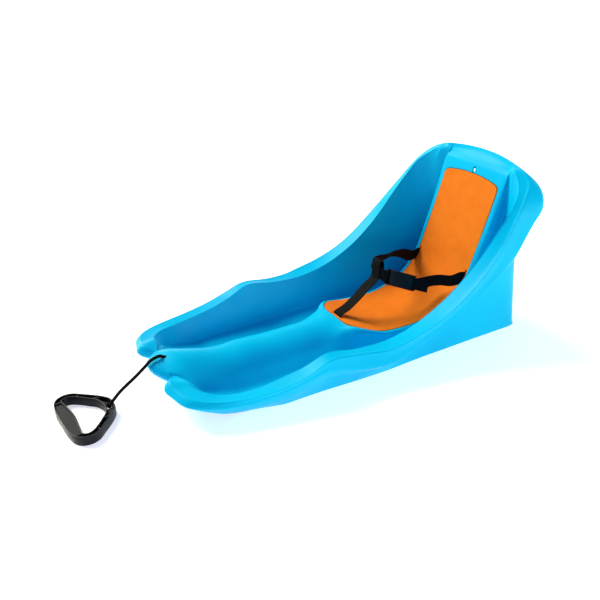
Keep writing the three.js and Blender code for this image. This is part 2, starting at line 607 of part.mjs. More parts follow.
// The socket half: a flat box with a mouth, side windows, and the adjuster's bar.
function buckleHousing() {
  const body = plate(0, housingLength, buckleWidth, buckleThickness);
  const room = box(-gap, mouthDepth, -roomHalf, roomHalf, -roomHigh, roomHigh);
  const window = (y0, y1) => box(windowStart, prongLength + 2 * gap, y0, y1, -roomHigh, roomHigh);
  const windows = [window(-buckleWidth, gap - roomHalf), window(roomHalf - gap, buckleWidth)];
  const lace = box(housingBody, housingLength + gap, -roomHalf, roomHalf, -overrun, overrun);
  const open = cut(body, room, ...windows, lace);
  return join(open, laceBar(housingBarX), ...gripRibs(housingBody / 2, roomHalf, 4));
}

// The plug half: a ribbed grip with a bar for the webbing, and the tongue that guides it.
function buckleClip() {
  const body = plate(-clipLength, -gap, buckleWidth, buckleThickness);
  const laceEnd = clipBarX + barRadius + lacing;
  const lace = box(-clipLength - gap, laceEnd, -roomHalf, roomHalf, -overrun, overrun);
  const high = roomHigh - gap;
  const tongue = box(-barRadius, mouthDepth - gap, -tongueWidth / 2, tongueWidth / 2, -high, high);
  const ribs = gripRibs(laceEnd + barRadius, buckleWidth / 2, 2);
  return join(cut(body, lace), laceBar(clipBarX), tongue, ...ribs);
}

// A prong: a springy arm from the clip whose head fills the side window of the housing.
function buckleProng(side) {
  const outer = roomHalf - gap;
  const head = buckleWidth / 2 - gap;
  const corners = [
    [0, outer - prongThickness], [prongLength, outer - prongThickness],
    [prongLength, head - prongThickness / 2], [prongLength - barRadius, head],
    [windowStart + gap, head], [windowStart + gap, outer], [0, outer]];
  const outline = corners.map(([x, y]) => new THREE.Vector2(x, y * side));
  const high = roomHigh - gap;
  const shape = new THREE.Shape(outline);
  const solid = new THREE.ExtrudeGeometry(shape, { depth: 2 * high, bevelEnabled: false });
  return solid.translate(0, 0, -high);
}

const turnDegrees = [-90, -45, 0, 45, 90];

// The webbing's turn round a bar: in on one face of the buckle, round the bar, out on the other.
function laceStops(barX, way, inLength, face, outLength) {
  const round = barRadius + gap + webbingThickness / 2;
  const stop = (x, z) => [inBuckle(x, 0, z * face), buckleY];
  const turn = turnDegrees.map((degrees) => {
    const angle = THREE.MathUtils.degToRad(degrees);
    return stop(barX - way * Math.cos(angle) * round, Math.sin(angle) * round);
  });
  return [stop(barX + way * inLength, -round), ...turn, stop(barX + way * outLength, round)];
}

const stopperTop = (slot) => underSeat - 2 * gap - slot.drop;

// The first stops of a strap: up from its stopper under the hull, through the slot.
function slotStops(slot) {
  const { centre, up, wide } = slotFrame(slot);
  const start = stopperTop(slot) - stopperThickness;
  return [start, start / 2, padProud, padProud * 3].map((height) =>
    [centre.clone().addScaledVector(wide, -slot.sag).addScaledVector(up, height), wide]);
}

const acrossSeat = new THREE.Vector3(1, 0, 0);
const leaningStop = ([x, y, z, lean]) => [at(x, y, z), new THREE.Vector3(lean, 0, 1).normalize()];

// The far side's waist strap: through the crotch strap's loop and back to the clip.
function waistStrapRight() {
  const free = waistRightShares.map(leaningStop);
  const lace = laceStops(clipBarX, -1, webbingWidth / 4, -1, webbingWidth / 5);
  return webbing([...slotStops(slots.right), ...free, ...lace]);
}

// The near side's waist strap: to the adjuster's bar, with the loose tail back on top.
function waistStrapLeft() {
  const free = waistLeftShares.map(leaningStop);
  const lace = laceStops(housingBarX, 1, webbingWidth / 3, 1, tailLength);
  return webbing([...slotStops(slots.left), ...free, ...lace]);
}

// The crotch strap: up from the seat's front, ending in a loop round the waist strap.
function crotchStrap() {
  const loop = at(...loopShares.centre);
  const free = crotchShares.map((s) => [at(...s), acrossSeat]);
  const ring = loopShares.ring.map(([y, z]) =>
    [new THREE.Vector3(loop.x, loop.y + y * webbingWidth, loop.z + z * webbingWidth), acrossSeat]);
  return webbing([...slotStops(slots.crotch), ...free, ...ring]);
}

// A stopper: a flat bar behind the hull that keeps the strap's end from pulling through.
function strapStopper(slot) {
  const high = stopperTop(slot);
  const bar = slotBlock(slot, slotLength + 2 * stopperOverlap, stopperWidth, high - stopperThickness, high);
  const [slitWidth, slitDepth] = [webbingWidth + 2 * gap, webbingThickness + 2 * gap];
  return cut(bar, slotBlock(slot, slitWidth, slitDepth, -overrun, overrun, -slot.sag));
}

// A smooth closed outline from its right half: shares of the handle's width and depth.
function handleOutline(shares, count) {
  const right = shares.map(([x, y]) => new THREE.Vector3(x * handleWidth, y * handleDepth, 0));
  const left = right.slice(1, -1).reverse().map((p) => new THREE.Vector3(-p.x, p.y, 0));
  const curve = new THREE.CatmullRomCurve3([...right, ...left], true, 'centripetal');
  return curve.getSpacedPoints(count).slice(0, count).map((p) => new THREE.Vector2(p.x, p.y)).reverse();
}

// An outline moved outward by a distance, inward where it is negative.
function moved(outline, distance) {
  return outline.map((p, i) => {
    const way = outline[(i + 1) % outline.length].clone().sub(outline.at(i - 1)).normalize();
    return new THREE.Vector2(p.x + way.y * distance, p.y - way.x * distance);
  });
}

// An outline made solid between two heights.
function prism(outline, low, high) {
  const shape = new THREE.Shape(outline);
  const solid = new THREE.ExtrudeGeometry(shape, { depth: high - low, bevelEnabled: false });
  return solid.translate(0, 0, low);
}

const knotRadius = knotDiameter / 2;
const knotY = -(handleRim + gap + knotRadius);
const knotZ = handleHeight - knotRadius - gap;
const handleSides = 64;

// The pull handle: a rounded triangle with a rim on each edge of its web, and ribs at its corners.
// Its apex holds the knot in a pocket behind a notch, and is rounded below about the knot, so that
// the handle can be lifted by its bar.
function pullHandle() {
  const outer = handleOutline(handleOuterShares, handleSides);
  const inner = handleOutline(handleInnerShares, handleSides);
  const ring = cut(prism(outer, 0, handleHeight), prism(inner, -overrun, overrun));
  const groove = (low, high) => cut(prism(moved(outer, -handleRim), low, high),
    prism(moved(inner, handleRim), -overrun, overrun), ...handleRibs());
  const webLow = (handleHeight - handleWeb) / 2;
  const notchHalf = cordDiameter / 2 + 2 * gap;
  const notch = box(-notchHalf, notchHalf, knotY, overrun, knotZ - notchHalf, overrun);
  const pocketHalf = knotRadius + 2 * gap;
  const pocket = box(-pocketHalf, pocketHalf, knotY - pocketHalf, knotY + knotRadius, -overrun, overrun);
  const grooves = [groove(-overrun, webLow), groove(webLow + handleWeb, overrun)];
  return cut(ring, ...grooves, notch, pocket, apexRounding());
}

// What is cut off below the apex: all that is farther from the knot's centre than the ground.
function apexRounding() {
  const centre = new THREE.Vector3(-handleWidth, knotY, knotZ);
  const kept = rod(centre, centre.clone().setX(handleWidth), knotZ - gap, 48);
  return cut(box(-handleWidth / 2, handleWidth / 2, knotY, overrun, -overrun, knotZ), kept);
}

// Cross ribs in the groove at the handle's corners.
function handleRibs() {
  return handleRibShares.map(([x, y, degrees]) => {
    const rib = box(-handleRib / 2, handleRib / 2, -handleBar, handleBar, -overrun * 2, overrun * 2);
    return rib.rotateZ(THREE.MathUtils.degToRad(degrees)).translate(x * handleWidth, y * handleDepth, 0);
  });
}

// The free cord: a tube along its route, eight-sided.
function pullCord() {
  const radius = cordDiameter / 2;
  const section = new THREE.Shape(spread(8).slice(1).map((t) =>
    new THREE.Vector2(Math.cos(t * 2 * Math.PI) * radius, Math.sin(t * 2 * Math.PI) * radius)));
  const path = new THREE.CatmullRomCurve3(cordRoute, false, 'centripetal');
  return new THREE.ExtrudeGeometry(section, { steps: 18, extrudePath: path, bevelEnabled: false });
}

// A knot, as a ball whose poles lie across the sled.
function knot(centre) {
  const ball = new THREE.SphereGeometry(knotRadius, 16, 10).rotateZ(Math.PI / 2);
  return ball.translate(centre.x, centre.y, centre.z);
}

// The handle's place on the ground, and the cord's route from the knot in the nose to it.
const handle = new THREE.Group();
handle.name = 'handle';
handle.position.set(handleX, handleDepth - handleReach, 0);
handle.rotation.z = THREE.MathUtils.degToRad(handleTurn);
handle.updateMatrixWorld(true);

const knotStandoff = knotRadius + gap;
const handleKnot = new THREE.Vector3(0, knotY, knotZ).applyMatrix4(handle.matrixWorld);
const freeRoute = cordShares.map((s) => at(...s));
const handleEnd = handleKnot.clone().add(freeRoute.at(-1).clone().sub(handleKnot).setLength(knotStandoff));
const cordRoute = [...freeRoute, handleEnd];
const noseKnot = freeRoute[0].clone().add(freeRoute[0].clone().sub(freeRoute[1]).setLength(knotStandoff));

const sled = new THREE.Group();
sled.name = 'baby_pull_sled';
const add = (parent, name, geometry, material) => {
  const mesh = new THREE.Mesh(geometry, material);
  mesh.name = name;
  parent.add(mesh);
};

add(sled, 'hull_shell', hullShell(), plastic(hullBlue, 0.35));
add(sled, 'seat_pad', seatPad(), plastic(foamOrange, 0.85));
add(sled, 'crotch_strap', crotchStrap(), plastic(webbingBlack, 0.8));
add(sled, 'waist_strap_right', waistStrapRight(), plastic(webbingBlack, 0.8));
add(sled, 'waist_strap_left', waistStrapLeft(), plastic(webbingBlack, 0.8));
for (const [name, slot] of Object.entries(slots)) {
  add(sled, `strap_stopper_${name}`, strapStopper(slot), plastic(mouldedBlack, 0.5));
}

const buckle = new THREE.Group();
buckle.name = 'buckle';
buckle.quaternion.setFromRotationMatrix(buckleTurn);
buckle.position.copy(buckleOrigin);
sled.add(buckle);
add(buckle, 'buckle_housing', buckleHousing(), plastic(mouldedBlack, 0.45));
add(buckle, 'buckle_clip', buckleClip(), plastic(mouldedBlack, 0.45));
add(buckle, 'buckle_prong_upper', buckleProng(1), plastic(mouldedBlack, 0.45));
add(buckle, 'buckle_prong_lower', buckleProng(-1), plastic(mouldedBlack, 0.45));

sled.add(handle);
add(handle, 'pull_handle', pullHandle(), plastic(mouldedBlack, 0.5));
add(sled, 'pull_cord', pullCord(), plastic(webbingBlack, 0.85));
add(sled, 'cord_knot_nose', knot(noseKnot), plastic(webbingBlack, 0.85));
add(sled, 'cord_knot_handle', knot(handleKnot), plastic(webbingBlack, 0.85));

// The origin is under the middle of the whole: the hull with the handle ahead of it.
const extent = new THREE.Box3().setFromObject(sled);
sled.position.y = -(extent.min.y + extent.max.y) / 2;

export default sled;
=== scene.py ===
"""A baby pull sled: a moulded hull with a foam seat pad, a lap harness and a pull cord.

Metres, +Z up, the nose toward -Y and the rider's left toward +X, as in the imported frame. The
surfaces are worked out on grids with numpy from the same stations and sizes as the solids.
"""

import logging
import math
from collections.abc import Callable
from dataclasses import dataclass, field
from enum import Enum

import bmesh
import bpy
import numpy as np
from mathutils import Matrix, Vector
from mathutils.bvhtree import BVHTree


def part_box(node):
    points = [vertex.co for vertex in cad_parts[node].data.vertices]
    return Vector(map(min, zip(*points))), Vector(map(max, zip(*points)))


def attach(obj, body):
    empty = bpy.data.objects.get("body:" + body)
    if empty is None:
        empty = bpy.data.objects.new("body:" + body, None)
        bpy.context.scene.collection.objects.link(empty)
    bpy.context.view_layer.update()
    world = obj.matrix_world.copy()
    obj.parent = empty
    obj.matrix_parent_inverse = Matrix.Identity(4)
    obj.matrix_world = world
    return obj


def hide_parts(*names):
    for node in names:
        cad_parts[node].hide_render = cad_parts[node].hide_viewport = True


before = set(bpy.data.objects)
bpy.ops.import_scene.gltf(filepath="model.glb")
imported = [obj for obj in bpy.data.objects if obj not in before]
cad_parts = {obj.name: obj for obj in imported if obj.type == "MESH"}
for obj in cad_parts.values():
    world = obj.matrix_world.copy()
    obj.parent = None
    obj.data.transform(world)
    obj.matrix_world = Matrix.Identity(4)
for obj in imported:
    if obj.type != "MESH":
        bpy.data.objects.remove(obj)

Array = np.ndarray
LOG = logging.getLogger("baby_pull_sled")
MM = 0.001
TINY = 1e-9
LEAST_LENGTH = 1e-12
ACROSS = np.array([1.0, 0.0, 0.0])
MIRROR = np.array([-1.0, 1.0, 1.0])

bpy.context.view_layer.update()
HULL_LENGTH = 776 * MM
HULL_HALF_WIDTH = 191 * MM
HULL_HEIGHT = 343 * MM
PAD_SHARE = 0.4476
PAD_INSET = 8 * MM
PAD_HALF_WIDTH = PAD_SHARE * HULL_HALF_WIDTH - PAD_INSET
WEBBING_WIDTH = 25 * MM
WEBBING_THICKNESS = 1.6 * MM
KNOT_RADIUS = 5.5 * MM
PLAY = 0.3 * MM
OVERRUN = 40 * MM
NOSE_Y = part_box("hull_shell")[0][1]


class Body(str, Enum):
    """The moving bodies of the sled."""

    SLED = "sled"
    PRONG_UPPER = "prong_upper"
    PRONG_LOWER = "prong_lower"
    HANDLE = "handle"


class Slot(str, Enum):
    """The material slots of the record."""

    HULL = "hull_blue"
    PAD = "pad_orange"
    WEBBING = "webbing_black"
    CORD = "cord_black"
    MOULDED = "moulded_black"


def place(shares: Array) -> Array:
    """A place in the hull from its shares.

    Args:
        shares: x as a share of the half width, y of the length from the nose tip, z of the height.

    Returns:
        The points in metres, in the frame.
    """
    shares = np.asarray(shares, float)
    scale = np.array([HULL_HALF_WIDTH, HULL_LENGTH, HULL_HEIGHT])
    return shares * scale + np.array([0.0, NOSE_Y, 0.0])


def unit(v: Array) -> Array:
    """Vectors at length one: each divided by the root of its squares' sum."""
    return v / np.maximum(np.linalg.norm(v, axis=-1, keepdims=True), LEAST_LENGTH)


def mix(a: Array, b: Array, t: float | Array) -> Array:
    """The straight blend of two values: a at t 0 and b at t 1."""
    return a + (b - a) * t


def full_turn(count: int) -> Array:
    """Angles spaced evenly round a circle, the first one zero."""
    return np.linspace(0, 2 * np.pi, count, endpoint=False)


def smooth_step(x: Array, low: float, high: float) -> Array:
    """Zero below low, one above high, and 3 t t - 2 t t t between them."""
    t = np.clip((x - low) / (high - low), 0.0, 1.0)
    return t * t * (3.0 - 2.0 * t)


def catmull_rom(points: Array, t: Array, closed: bool = False) -> Array:
    """Points on centripetal Catmull-Rom curves.

    Between two control points the curve is a cubic whose end slopes weigh the neighbouring chords
    by the roots of their lengths.

    Args:
        points: control points, the first index along the curve and the last one x, y and z.
        t: places along the curve from 0 to 1, even from one control point to the next.
        closed: whether the last point joins the first.

    Returns:
        The curve points, one row for each t.
    """
    p = np.asarray(points, float)
    count = len(p)
    spans = count if closed else count - 1
    where = np.clip(np.asarray(t, float), 0.0, 1.0) * spans
    k = np.minimum(where.astype(int), spans - 1)
    w = (where - k).reshape((-1,) + (1,) * (p.ndim - 1))
    if closed:
        p0, p1, p2, p3 = (p[(k + shift) % count] for shift in (-1, 0, 1, 2))
    else:
        longer = np.concatenate([[2 * p[0] - p[1]], p, [2 * p[-1] - p[-2]]])
        p0, p1, p2, p3 = (longer[k + shift] for shift in (0, 1, 2, 3))
    d0, d1, d2 = (
        np.sqrt(np.maximum(np.linalg.norm(b - a, axis=-1, keepdims=True), TINY))
        for a, b in ((p0, p1), (p1, p2), (p2, p3))
    )
    start = ((p1 - p0) / d0 - (p2 - p0) / (d0 + d1) + (p2 - p1) / d1) * d1
    end = ((p2 - p1) / d1 - (p3 - p1) / (d1 + d2) + (p3 - p2) / d2) * d1
    a = -3 * p1 + 3 * p2 - 2 * start - end
    b = 2 * p1 - 2 * p2 + start + end
    return p1 + w * (start + w * (a + w * b))


def run_along(points: Array) -> Array:
    """How far along a path each of its points is: the sum of the straight pieces before it."""
    return np.concatenate([[0], np.cumsum(np.linalg.norm(np.diff(points, axis=0), axis=1))])


def at_runs(points: Array, places: Array) -> Array:
    """The points of a path of straight pieces at places along its run."""
    run = run_along(points)
    return np.stack([np.interp(places, run, column) for column in points.T], axis=1)


def evenly(points: Array, step: float) -> Array:
    """Points spaced evenly along a path of straight pieces, about a step apart."""
    length = run_along(points)[-1]
    return at_runs(points, np.linspace(0, length, int(length / step) + 1))


def grid_quads(rows: int, columns: int, wrap: bool = False, first: int = 0) -> Array:
    """Quads of a grid of points numbered row by row.

    Args:
        rows: the grid's rows.
        columns: the grid's columns.
        wrap: whether the last column joins the first.
        first: the number of the grid's first point.

    Returns:
        The four point numbers of each quad.
    """
    index = first + np.arange(rows * columns).reshape(rows, columns)
    if wrap:
        index = np.concatenate([index, index[:, :1]], axis=1)
    corners = (index[:-1, :-1], index[:-1, 1:], index[1:, 1:], index[1:, :-1])
    return np.stack([c.ravel() for c in corners], axis=1)


def tube_faces(rows: int, sides: int) -> list:
    """Faces of a tube whose points are numbered ring by ring, with a cap on each end.

    Args:
        rows: how many rings.
        sides: the points of a ring.

    Returns:
        The faces, as lists of point numbers.
    """
    count = rows * sides
    caps = [list(range(sides)), list(range(count - 1, count - sides - 1, -1))]
    return grid_quads(rows, sides, wrap=True).tolist() + caps


def weld(points: Array, quads: Array, marks: Array | None = None,
         step: float = 1e-6) -> tuple[Array, Array, Array | None]:
    """Joins points that round to the same multiple of step.

    Args:
        points: the points.
        quads: the faces, renumbered here.
        marks: yes or no values for each point, a joined point taking every yes.
        step: how close two points are joined.

    Returns:
        The points, the quads and the marks.
    """
    keys = np.round(points / step).astype(np.int64)
    _, first, inverse = np.unique(keys, axis=0, return_index=True, return_inverse=True)
    inverse = inverse.reshape(-1)
    joined = None
    if marks is not None:
        joined = np.zeros((len(first), marks.shape[1]), bool)
        np.logical_or.at(joined, inverse, marks)
    return points[first], inverse[quads], joined


class Piece:
    """Makes, finishes and mounts one object of the sled."""

    merge_distance = 0.2 * MM
    flat_degrees = 0.5
    bevel_degrees = 40.0
    least_size = 0.005 * MM

    def __init__(self, name: str, points: Array, faces: list, uv: Array | None = None) -> None:
        """Makes the mesh object.

        Args:
            name: the piece's name.
            points: its points in the frame.
            faces: its faces as lists of point numbers.
            uv: a place on the surface in metres for each point, where the pattern follows it.
        """
        mesh = bpy.data.meshes.new(name)
        mesh.from_pydata(np.asarray(points).tolist(), [], [list(f) for f in faces])
        mesh.update()
        if uv is not None:
            layer = mesh.uv_layers.new(name="UVMap")
            index = np.zeros(len(mesh.loops), np.int32)
            mesh.loops.foreach_get("vertex_index", index)
            layer.data.foreach_set("uv", np.asarray(uv, np.float32)[index].ravel())
        self.object = bpy.data.objects.new(name, mesh)
        bpy.context.scene.collection.objects.link(self.object)

    @classmethod
    def from_node(cls, name: str, node: str) -> "Piece":
        """A new piece whose mesh is a copy of a CAD node's, with its loose triangles merged.

        Args:
            name: the piece's name.
            node: the CAD node.

        Returns:
            The piece.
        """
        piece = cls(name, np.zeros((0, 3)), [])
        piece.object.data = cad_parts[node].data.copy()
        piece.object.data.materials.clear()
        piece.edit(lambda bm: bmesh.ops.remove_doubles(
            bm, verts=bm.verts, dist=cls.merge_distance))
        piece.edit(lambda bm: bmesh.ops.dissolve_limit(
            bm, angle_limit=math.radians(cls.flat_degrees), verts=bm.verts, edges=bm.edges))
        return piece

    def edit(self, change: Callable[[bmesh.types.BMesh], object]) -> "Piece":
        """Runs a bmesh operation on the mesh.

        Args:
            change: what is run on it.

        Returns:
            The piece.
        """
        bm = bmesh.new()
        bm.from_mesh(self.object.data)
        change(bm)
        bm.to_mesh(self.object.data)
        bm.free()
        return self

    def face_outward(self) -> "Piece":
        """Turns every face of a closed mesh outward."""
        return self.edit(lambda bm: bmesh.ops.recalc_face_normals(bm, faces=bm.faces))

    def modified(self, kind: str, **settings: object) -> bpy.types.Mesh:
        """The mesh that a modifier makes of this one.

        Args:
            kind: the modifier's type.
            settings: the modifier's own properties.

        Returns:
            The new mesh.
        """
        modifier = self.object.modifiers.new(kind.lower(), kind)
        for key, value in settings.items():
            setattr(modifier, key, value)
        bpy.context.view_layer.update()
        graph = bpy.context.evaluated_depsgraph_get()
        made = bpy.data.meshes.new_from_object(self.object.evaluated_get(graph), depsgraph=graph)
        self.object.modifiers.clear()
        return made

    def modify(self, kind: str, **settings: object) -> "Piece":
        """Puts the mesh that a modifier makes in this one's place."""
        self.object.data = self.modified(kind, **settings)
        return self

    def bevel(self, width: float, segments: int = 3, clamp: bool = True) -> "Piece":
        """Rounds the sharp edges.

        Args:
            width: how far a round reaches on each side of its edge.
            segments: the strips of a round.
            clamp: whether every round is made narrower where edges are short.

        Returns:
            The piece.
        """
        self.modify(
            "BEVEL", width=width, segments=segments, limit_method="ANGLE",
            angle_limit=math.radians(self.bevel_degrees), use_clamp_overlap=clamp,
            miter_outer="MITER_ARC" if clamp else "MITER_SHARP")
        return self.clean()

    def clean(self) -> "Piece":
        """Takes out faces and edges that are too small to be seen."""
        return self.edit(lambda bm: bmesh.ops.dissolve_degenerate(
            bm, dist=self.least_size, edges=bm.edges))

    def combine(self, others: list["Piece"], operation: str) -> "Piece":
        """Joins this piece with others, which are then removed.

        Args:
            others: the other pieces.
            operation: what is done, DIFFERENCE, UNION or INTERSECT.

        Returns:
            The piece.
        """
        group = bpy.data.collections.new("tools")
        bpy.context.scene.collection.children.link(group)
        for other in others:
            group.objects.link(other.object)
        self.modify(
            "BOOLEAN", operation=operation, operand_type="COLLECTION", collection=group,
            solver="MANIFOLD")
        for other in others:
            bpy.data.objects.remove(other.object)
        bpy.data.collections.remove(group)
        return self.clean()

    def shade(self, degrees: float = 35.0) -> "Piece":
        """Shades smoothly over all edges but those that turn by more than an angle.

        Args:
            degrees: the angle.

        Returns:
            The piece.
        """
        mesh = self.object.data
        mesh.polygons.foreach_set("use_smooth", np.ones(len(mesh.polygons), bool))
        mesh.set_sharp_from_angle(angle=math.radians(degrees))
        return self

    @staticmethod
    def points_of(mesh: bpy.types.Mesh) -> Array:
        """A mesh's points as an array."""
        out = np.zeros(len(mesh.vertices) * 3, np.float32)
        mesh.vertices.foreach_get("co", out)
        return out.reshape(-1, 3).astype(float)

    def points(self) -> Array:
        """This piece's points as an array."""
        return self.points_of(self.object.data)

    def set_points(self, points: Array) -> "Piece":
        """Moves the mesh's points."""
        self.object.data.vertices.foreach_set("co", points.astype(np.float32).ravel())
        self.object.data.update()
        return self

    def dress(self, material: bpy.types.Material, slot: Slot) -> "Piece":
        """Gives the piece its one material.

        Args:
            material: the material.
            slot: the slot; not used.

        Returns:
            The piece.
        """
        self.object.data.materials.clear()
        self.object.data.materials.append(material)
        self.object.data.polygons.foreach_set(
            "material_index", np.zeros(len(self.object.data.polygons), np.int32))
        return self

    def mount(self, body: Body, node: str) -> "Piece":
        """Lets the piece ride on a body, in place of the CAD node that it stands for.

        Args:
            body: the body.
            node: the node.

        Returns:
            The piece.
        """
        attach(self.object, body.value)
        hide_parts(node)
        LOG.info("%s: %d faces", self.object.name, len(self.object.data.polygons))
        return self


class Tree:
    """A material's node tree, built one node at a time."""

    noise_range = (0.3, 0.7)

    def __init__(self, name: str) -> None:
        """Makes an empty material with an output."""
        self.material = bpy.data.materials.new(name)
        self.material.use_nodes = True
        self.tree = self.material.node_tree
        self.tree.nodes.clear()
        self.output = self.tree.nodes.new("ShaderNodeOutputMaterial")

    def node(self, kind: str, inputs: dict | None = None, **settings: object) -> bpy.types.Node:
        """Adds a node.

        Args:
            kind: the node's type without its prefix.
            inputs: a value or a socket for each input, by name or number.
            settings: the node's own properties.

        Returns:
            The node.
        """
        node = self.tree.nodes.new("ShaderNode" + kind)
        for key, value in settings.items():
            setattr(node, key, value)
        for key, value in (inputs or {}).items():
            if isinstance(value, bpy.types.NodeSocket):
                self.tree.links.new(value, node.inputs[key])
            else:
                node.inputs[key].default_value = value
        return node

    def math(self, operation: str, *values: float | bpy.types.NodeSocket) -> bpy.types.NodeSocket:
        """The result of a math node on numbers or sockets."""
        return self.node("Math", dict(enumerate(values)), operation=operation).outputs[0]

    def coordinates(self, name: str = "Object") -> bpy.types.NodeSocket:
        """The object's own coordinates, or its UV map."""
        return self.node("TexCoord").outputs[name]

    def noise(self, vector: bpy.types.NodeSocket, scale: float, detail: float = 4.0,
              roughness: float = 0.5) -> bpy.types.NodeSocket:
        """The grey value of a noise texture.

        Args:
            vector: the coordinates.
            scale: how many swells a metre holds.
            detail: how many finer layers lie on the first.
            roughness: how strong the finer layers are.

        Returns:
            The value, about 0.5 on average.
        """
        made = self.node("TexNoise", {
            "Vector": vector, "Scale": scale, "Detail": detail, "Roughness": roughness})
        return made.outputs[0]

    def span(self, noise: bpy.types.NodeSocket, low: float, high: float) -> bpy.types.NodeSocket:
        """A noise's middle values moved in a straight line to a range, held at its ends."""
        inputs = dict(enumerate((noise, *self.noise_range, low, high)))
        return self.node("MapRange", inputs).outputs[0]

    def ramp(self, value: bpy.types.NodeSocket, stops: list) -> bpy.types.NodeSocket:
        """A colour blended between stops.

        Args:
            value: the place between the stops.
            stops: a place and a colour for each.

        Returns:
            The colour.
        """
        made = self.node("ValToRGB", {0: value})
        elements = made.color_ramp.elements
        while len(elements) < len(stops):
            elements.new(0.5)
        for element, (position, color) in zip(elements, stops):
            element.position = position
            element.color = (*color, 1.0)
        return made.outputs[0]

    def bump(self, height: bpy.types.NodeSocket, distance: float, strength: float = 1.0,
             normal: bpy.types.NodeSocket | None = None) -> bpy.types.NodeSocket:
        """A normal that follows a height.

        Args:
            height: the height, from 0 to 1.
            distance: the metres of a height of 1.
            strength: how much of the tilt is kept.
            normal: a coarser normal that this one lies on.

        Returns:
            The normal.
        """
        inputs = {"Height": height, "Distance": distance, "Strength": strength}
        if normal is not None:
            inputs["Normal"] = normal
        return self.node("Bump", inputs).outputs[0]

    def surface(self, **inputs: object) -> bpy.types.Material:
        """Ends the tree in one principled shader; underscores in the names stand for spaces.

        Args:
            inputs: a value or a socket for each of the shader's inputs.

        Returns:
            The material.
        """
        named = {key.replace("_", " "): value for key, value in inputs.items()}
        shader = self.node("BsdfPrincipled", named)
        self.tree.links.new(shader.outputs[0], self.output.inputs[0])
        return self.material


@dataclass(frozen=True)
class MouldedPolyethylene:
    """The hull's satin blue plastic, with the fine pebble and slow waves of a large moulding."""

    deep: tuple = (0.0, 0.43, 0.74)
    bright: tuple = (0.0, 0.50, 0.80)
    drift_scale: float = 7.0
    gloss_scale: float = 60.0
    wave_scale: float = 14.0
    wave_height: float = 0.6 * MM
    pebble_scale: float = 900.0
    pebble_height: float = 0.05 * MM
    roughness: tuple = (0.3, 0.4)
    mirror: float = 0.05

    def make(self) -> bpy.types.Material:
        """Colour and roughness drift with slow noise; a fine noise gives the pebbled skin."""
        tree = Tree("moulded_polyethylene_blue")
        where = tree.coordinates()
        drift = tree.noise(where, self.drift_scale, detail=3.0)
        color = tree.ramp(drift, [(0.3, self.deep), (0.7, self.bright)])
        rough = tree.span(tree.noise(where, self.gloss_scale, detail=5.0), *self.roughness)
        waves = tree.bump(tree.noise(where, self.wave_scale, detail=1.0), self.wave_height, 0.35)
        pebble = tree.noise(where, self.pebble_scale, detail=3.0)
        return tree.surface(
            Base_Color=color, Roughness=rough, Specular_IOR_Level=self.mirror,
            Normal=tree.bump(pebble, self.pebble_height, 0.5, normal=waves))


@dataclass(frozen=True)
class ClosedCellFoam:
    """The pad's orange foam: matt, with tiny cells and a soft mottle."""

    base: tuple = (0.80, 0.170, 0.006)
    light: tuple = (0.86, 0.195, 0.009)
    mottle_scale: float = 45.0
    swell_scale: float = 55.0
    swell_height: float = 0.3 * MM
    cell_scale: float = 2200.0
    cell_height: float = 0.08 * MM
    roughness: tuple = (0.72, 0.86)
    mirror: float = 0.12

    def make(self) -> bpy.types.Material:
        """Cells are a fine noise in height; the mottle is a slow noise in colour."""
        tree = Tree("closed_cell_foam_orange")
        where = tree.coordinates()
        mottle = tree.noise(where, self.mottle_scale, detail=6.0, roughness=0.6)
        color = tree.ramp(mottle, [(0.35, self.base), (0.65, self.light)])
        cells = tree.noise(where, self.cell_scale, detail=2.0)
        swell = tree.bump(tree.noise(where, self.swell_scale, detail=2.0), self.swell_height, 0.4)
        return tree.surface(
            Base_Color=color, Roughness=tree.span(cells, *self.roughness),
            Normal=tree.bump(cells, self.cell_height, 0.6, normal=swell),
            Specular_IOR_Level=self.mirror)


@dataclass(frozen=True)
class WovenWebbing:
    """Black polyester webbing: a fine twill between two plain edges."""

    thread: tuple = (0.004, 0.004, 0.0045)
    worn: tuple = (0.012, 0.012, 0.013)
    pitch: float = 1.1 * MM
    lean: float = 0.9
    fuzz_scale: float = 900.0
    fuzz_height: float = 0.25
    thread_height: float = 0.18 * MM
    roughness: float = 0.62
    mirror: float = 0.03

    def make(self) -> bpy.types.Material:
        """Threads are the product of two sine waves, one across the strip and one aslant."""
        tree = Tree("woven_webbing_black")
        split = tree.node("SeparateXYZ", {0: tree.coordinates("UV")})
        across, along = split.outputs[0], split.outputs[1]
        turn = 2 * math.pi / self.pitch
        diagonal = tree.math("MULTIPLY_ADD", tree.math("ABSOLUTE", across), self.lean, along)
        warp, weft = (tree.math("SINE", tree.math("MULTIPLY", way, turn))
                      for way in (across, diagonal))
        weave = tree.math("MULTIPLY_ADD", tree.math("MULTIPLY", warp, weft), 0.5, 0.5)
        fuzz = tree.noise(tree.coordinates(), self.fuzz_scale, detail=4.0, roughness=0.7)
        wear = tree.math("MULTIPLY", weave, fuzz)
        height = tree.math("MULTIPLY_ADD", fuzz, self.fuzz_height, weave)
        return tree.surface(
            Base_Color=tree.ramp(wear, [(0.1, self.thread), (0.55, self.worn)]),
            Roughness=self.roughness, Normal=tree.bump(height, self.thread_height, 0.8),
            Specular_IOR_Level=self.mirror)


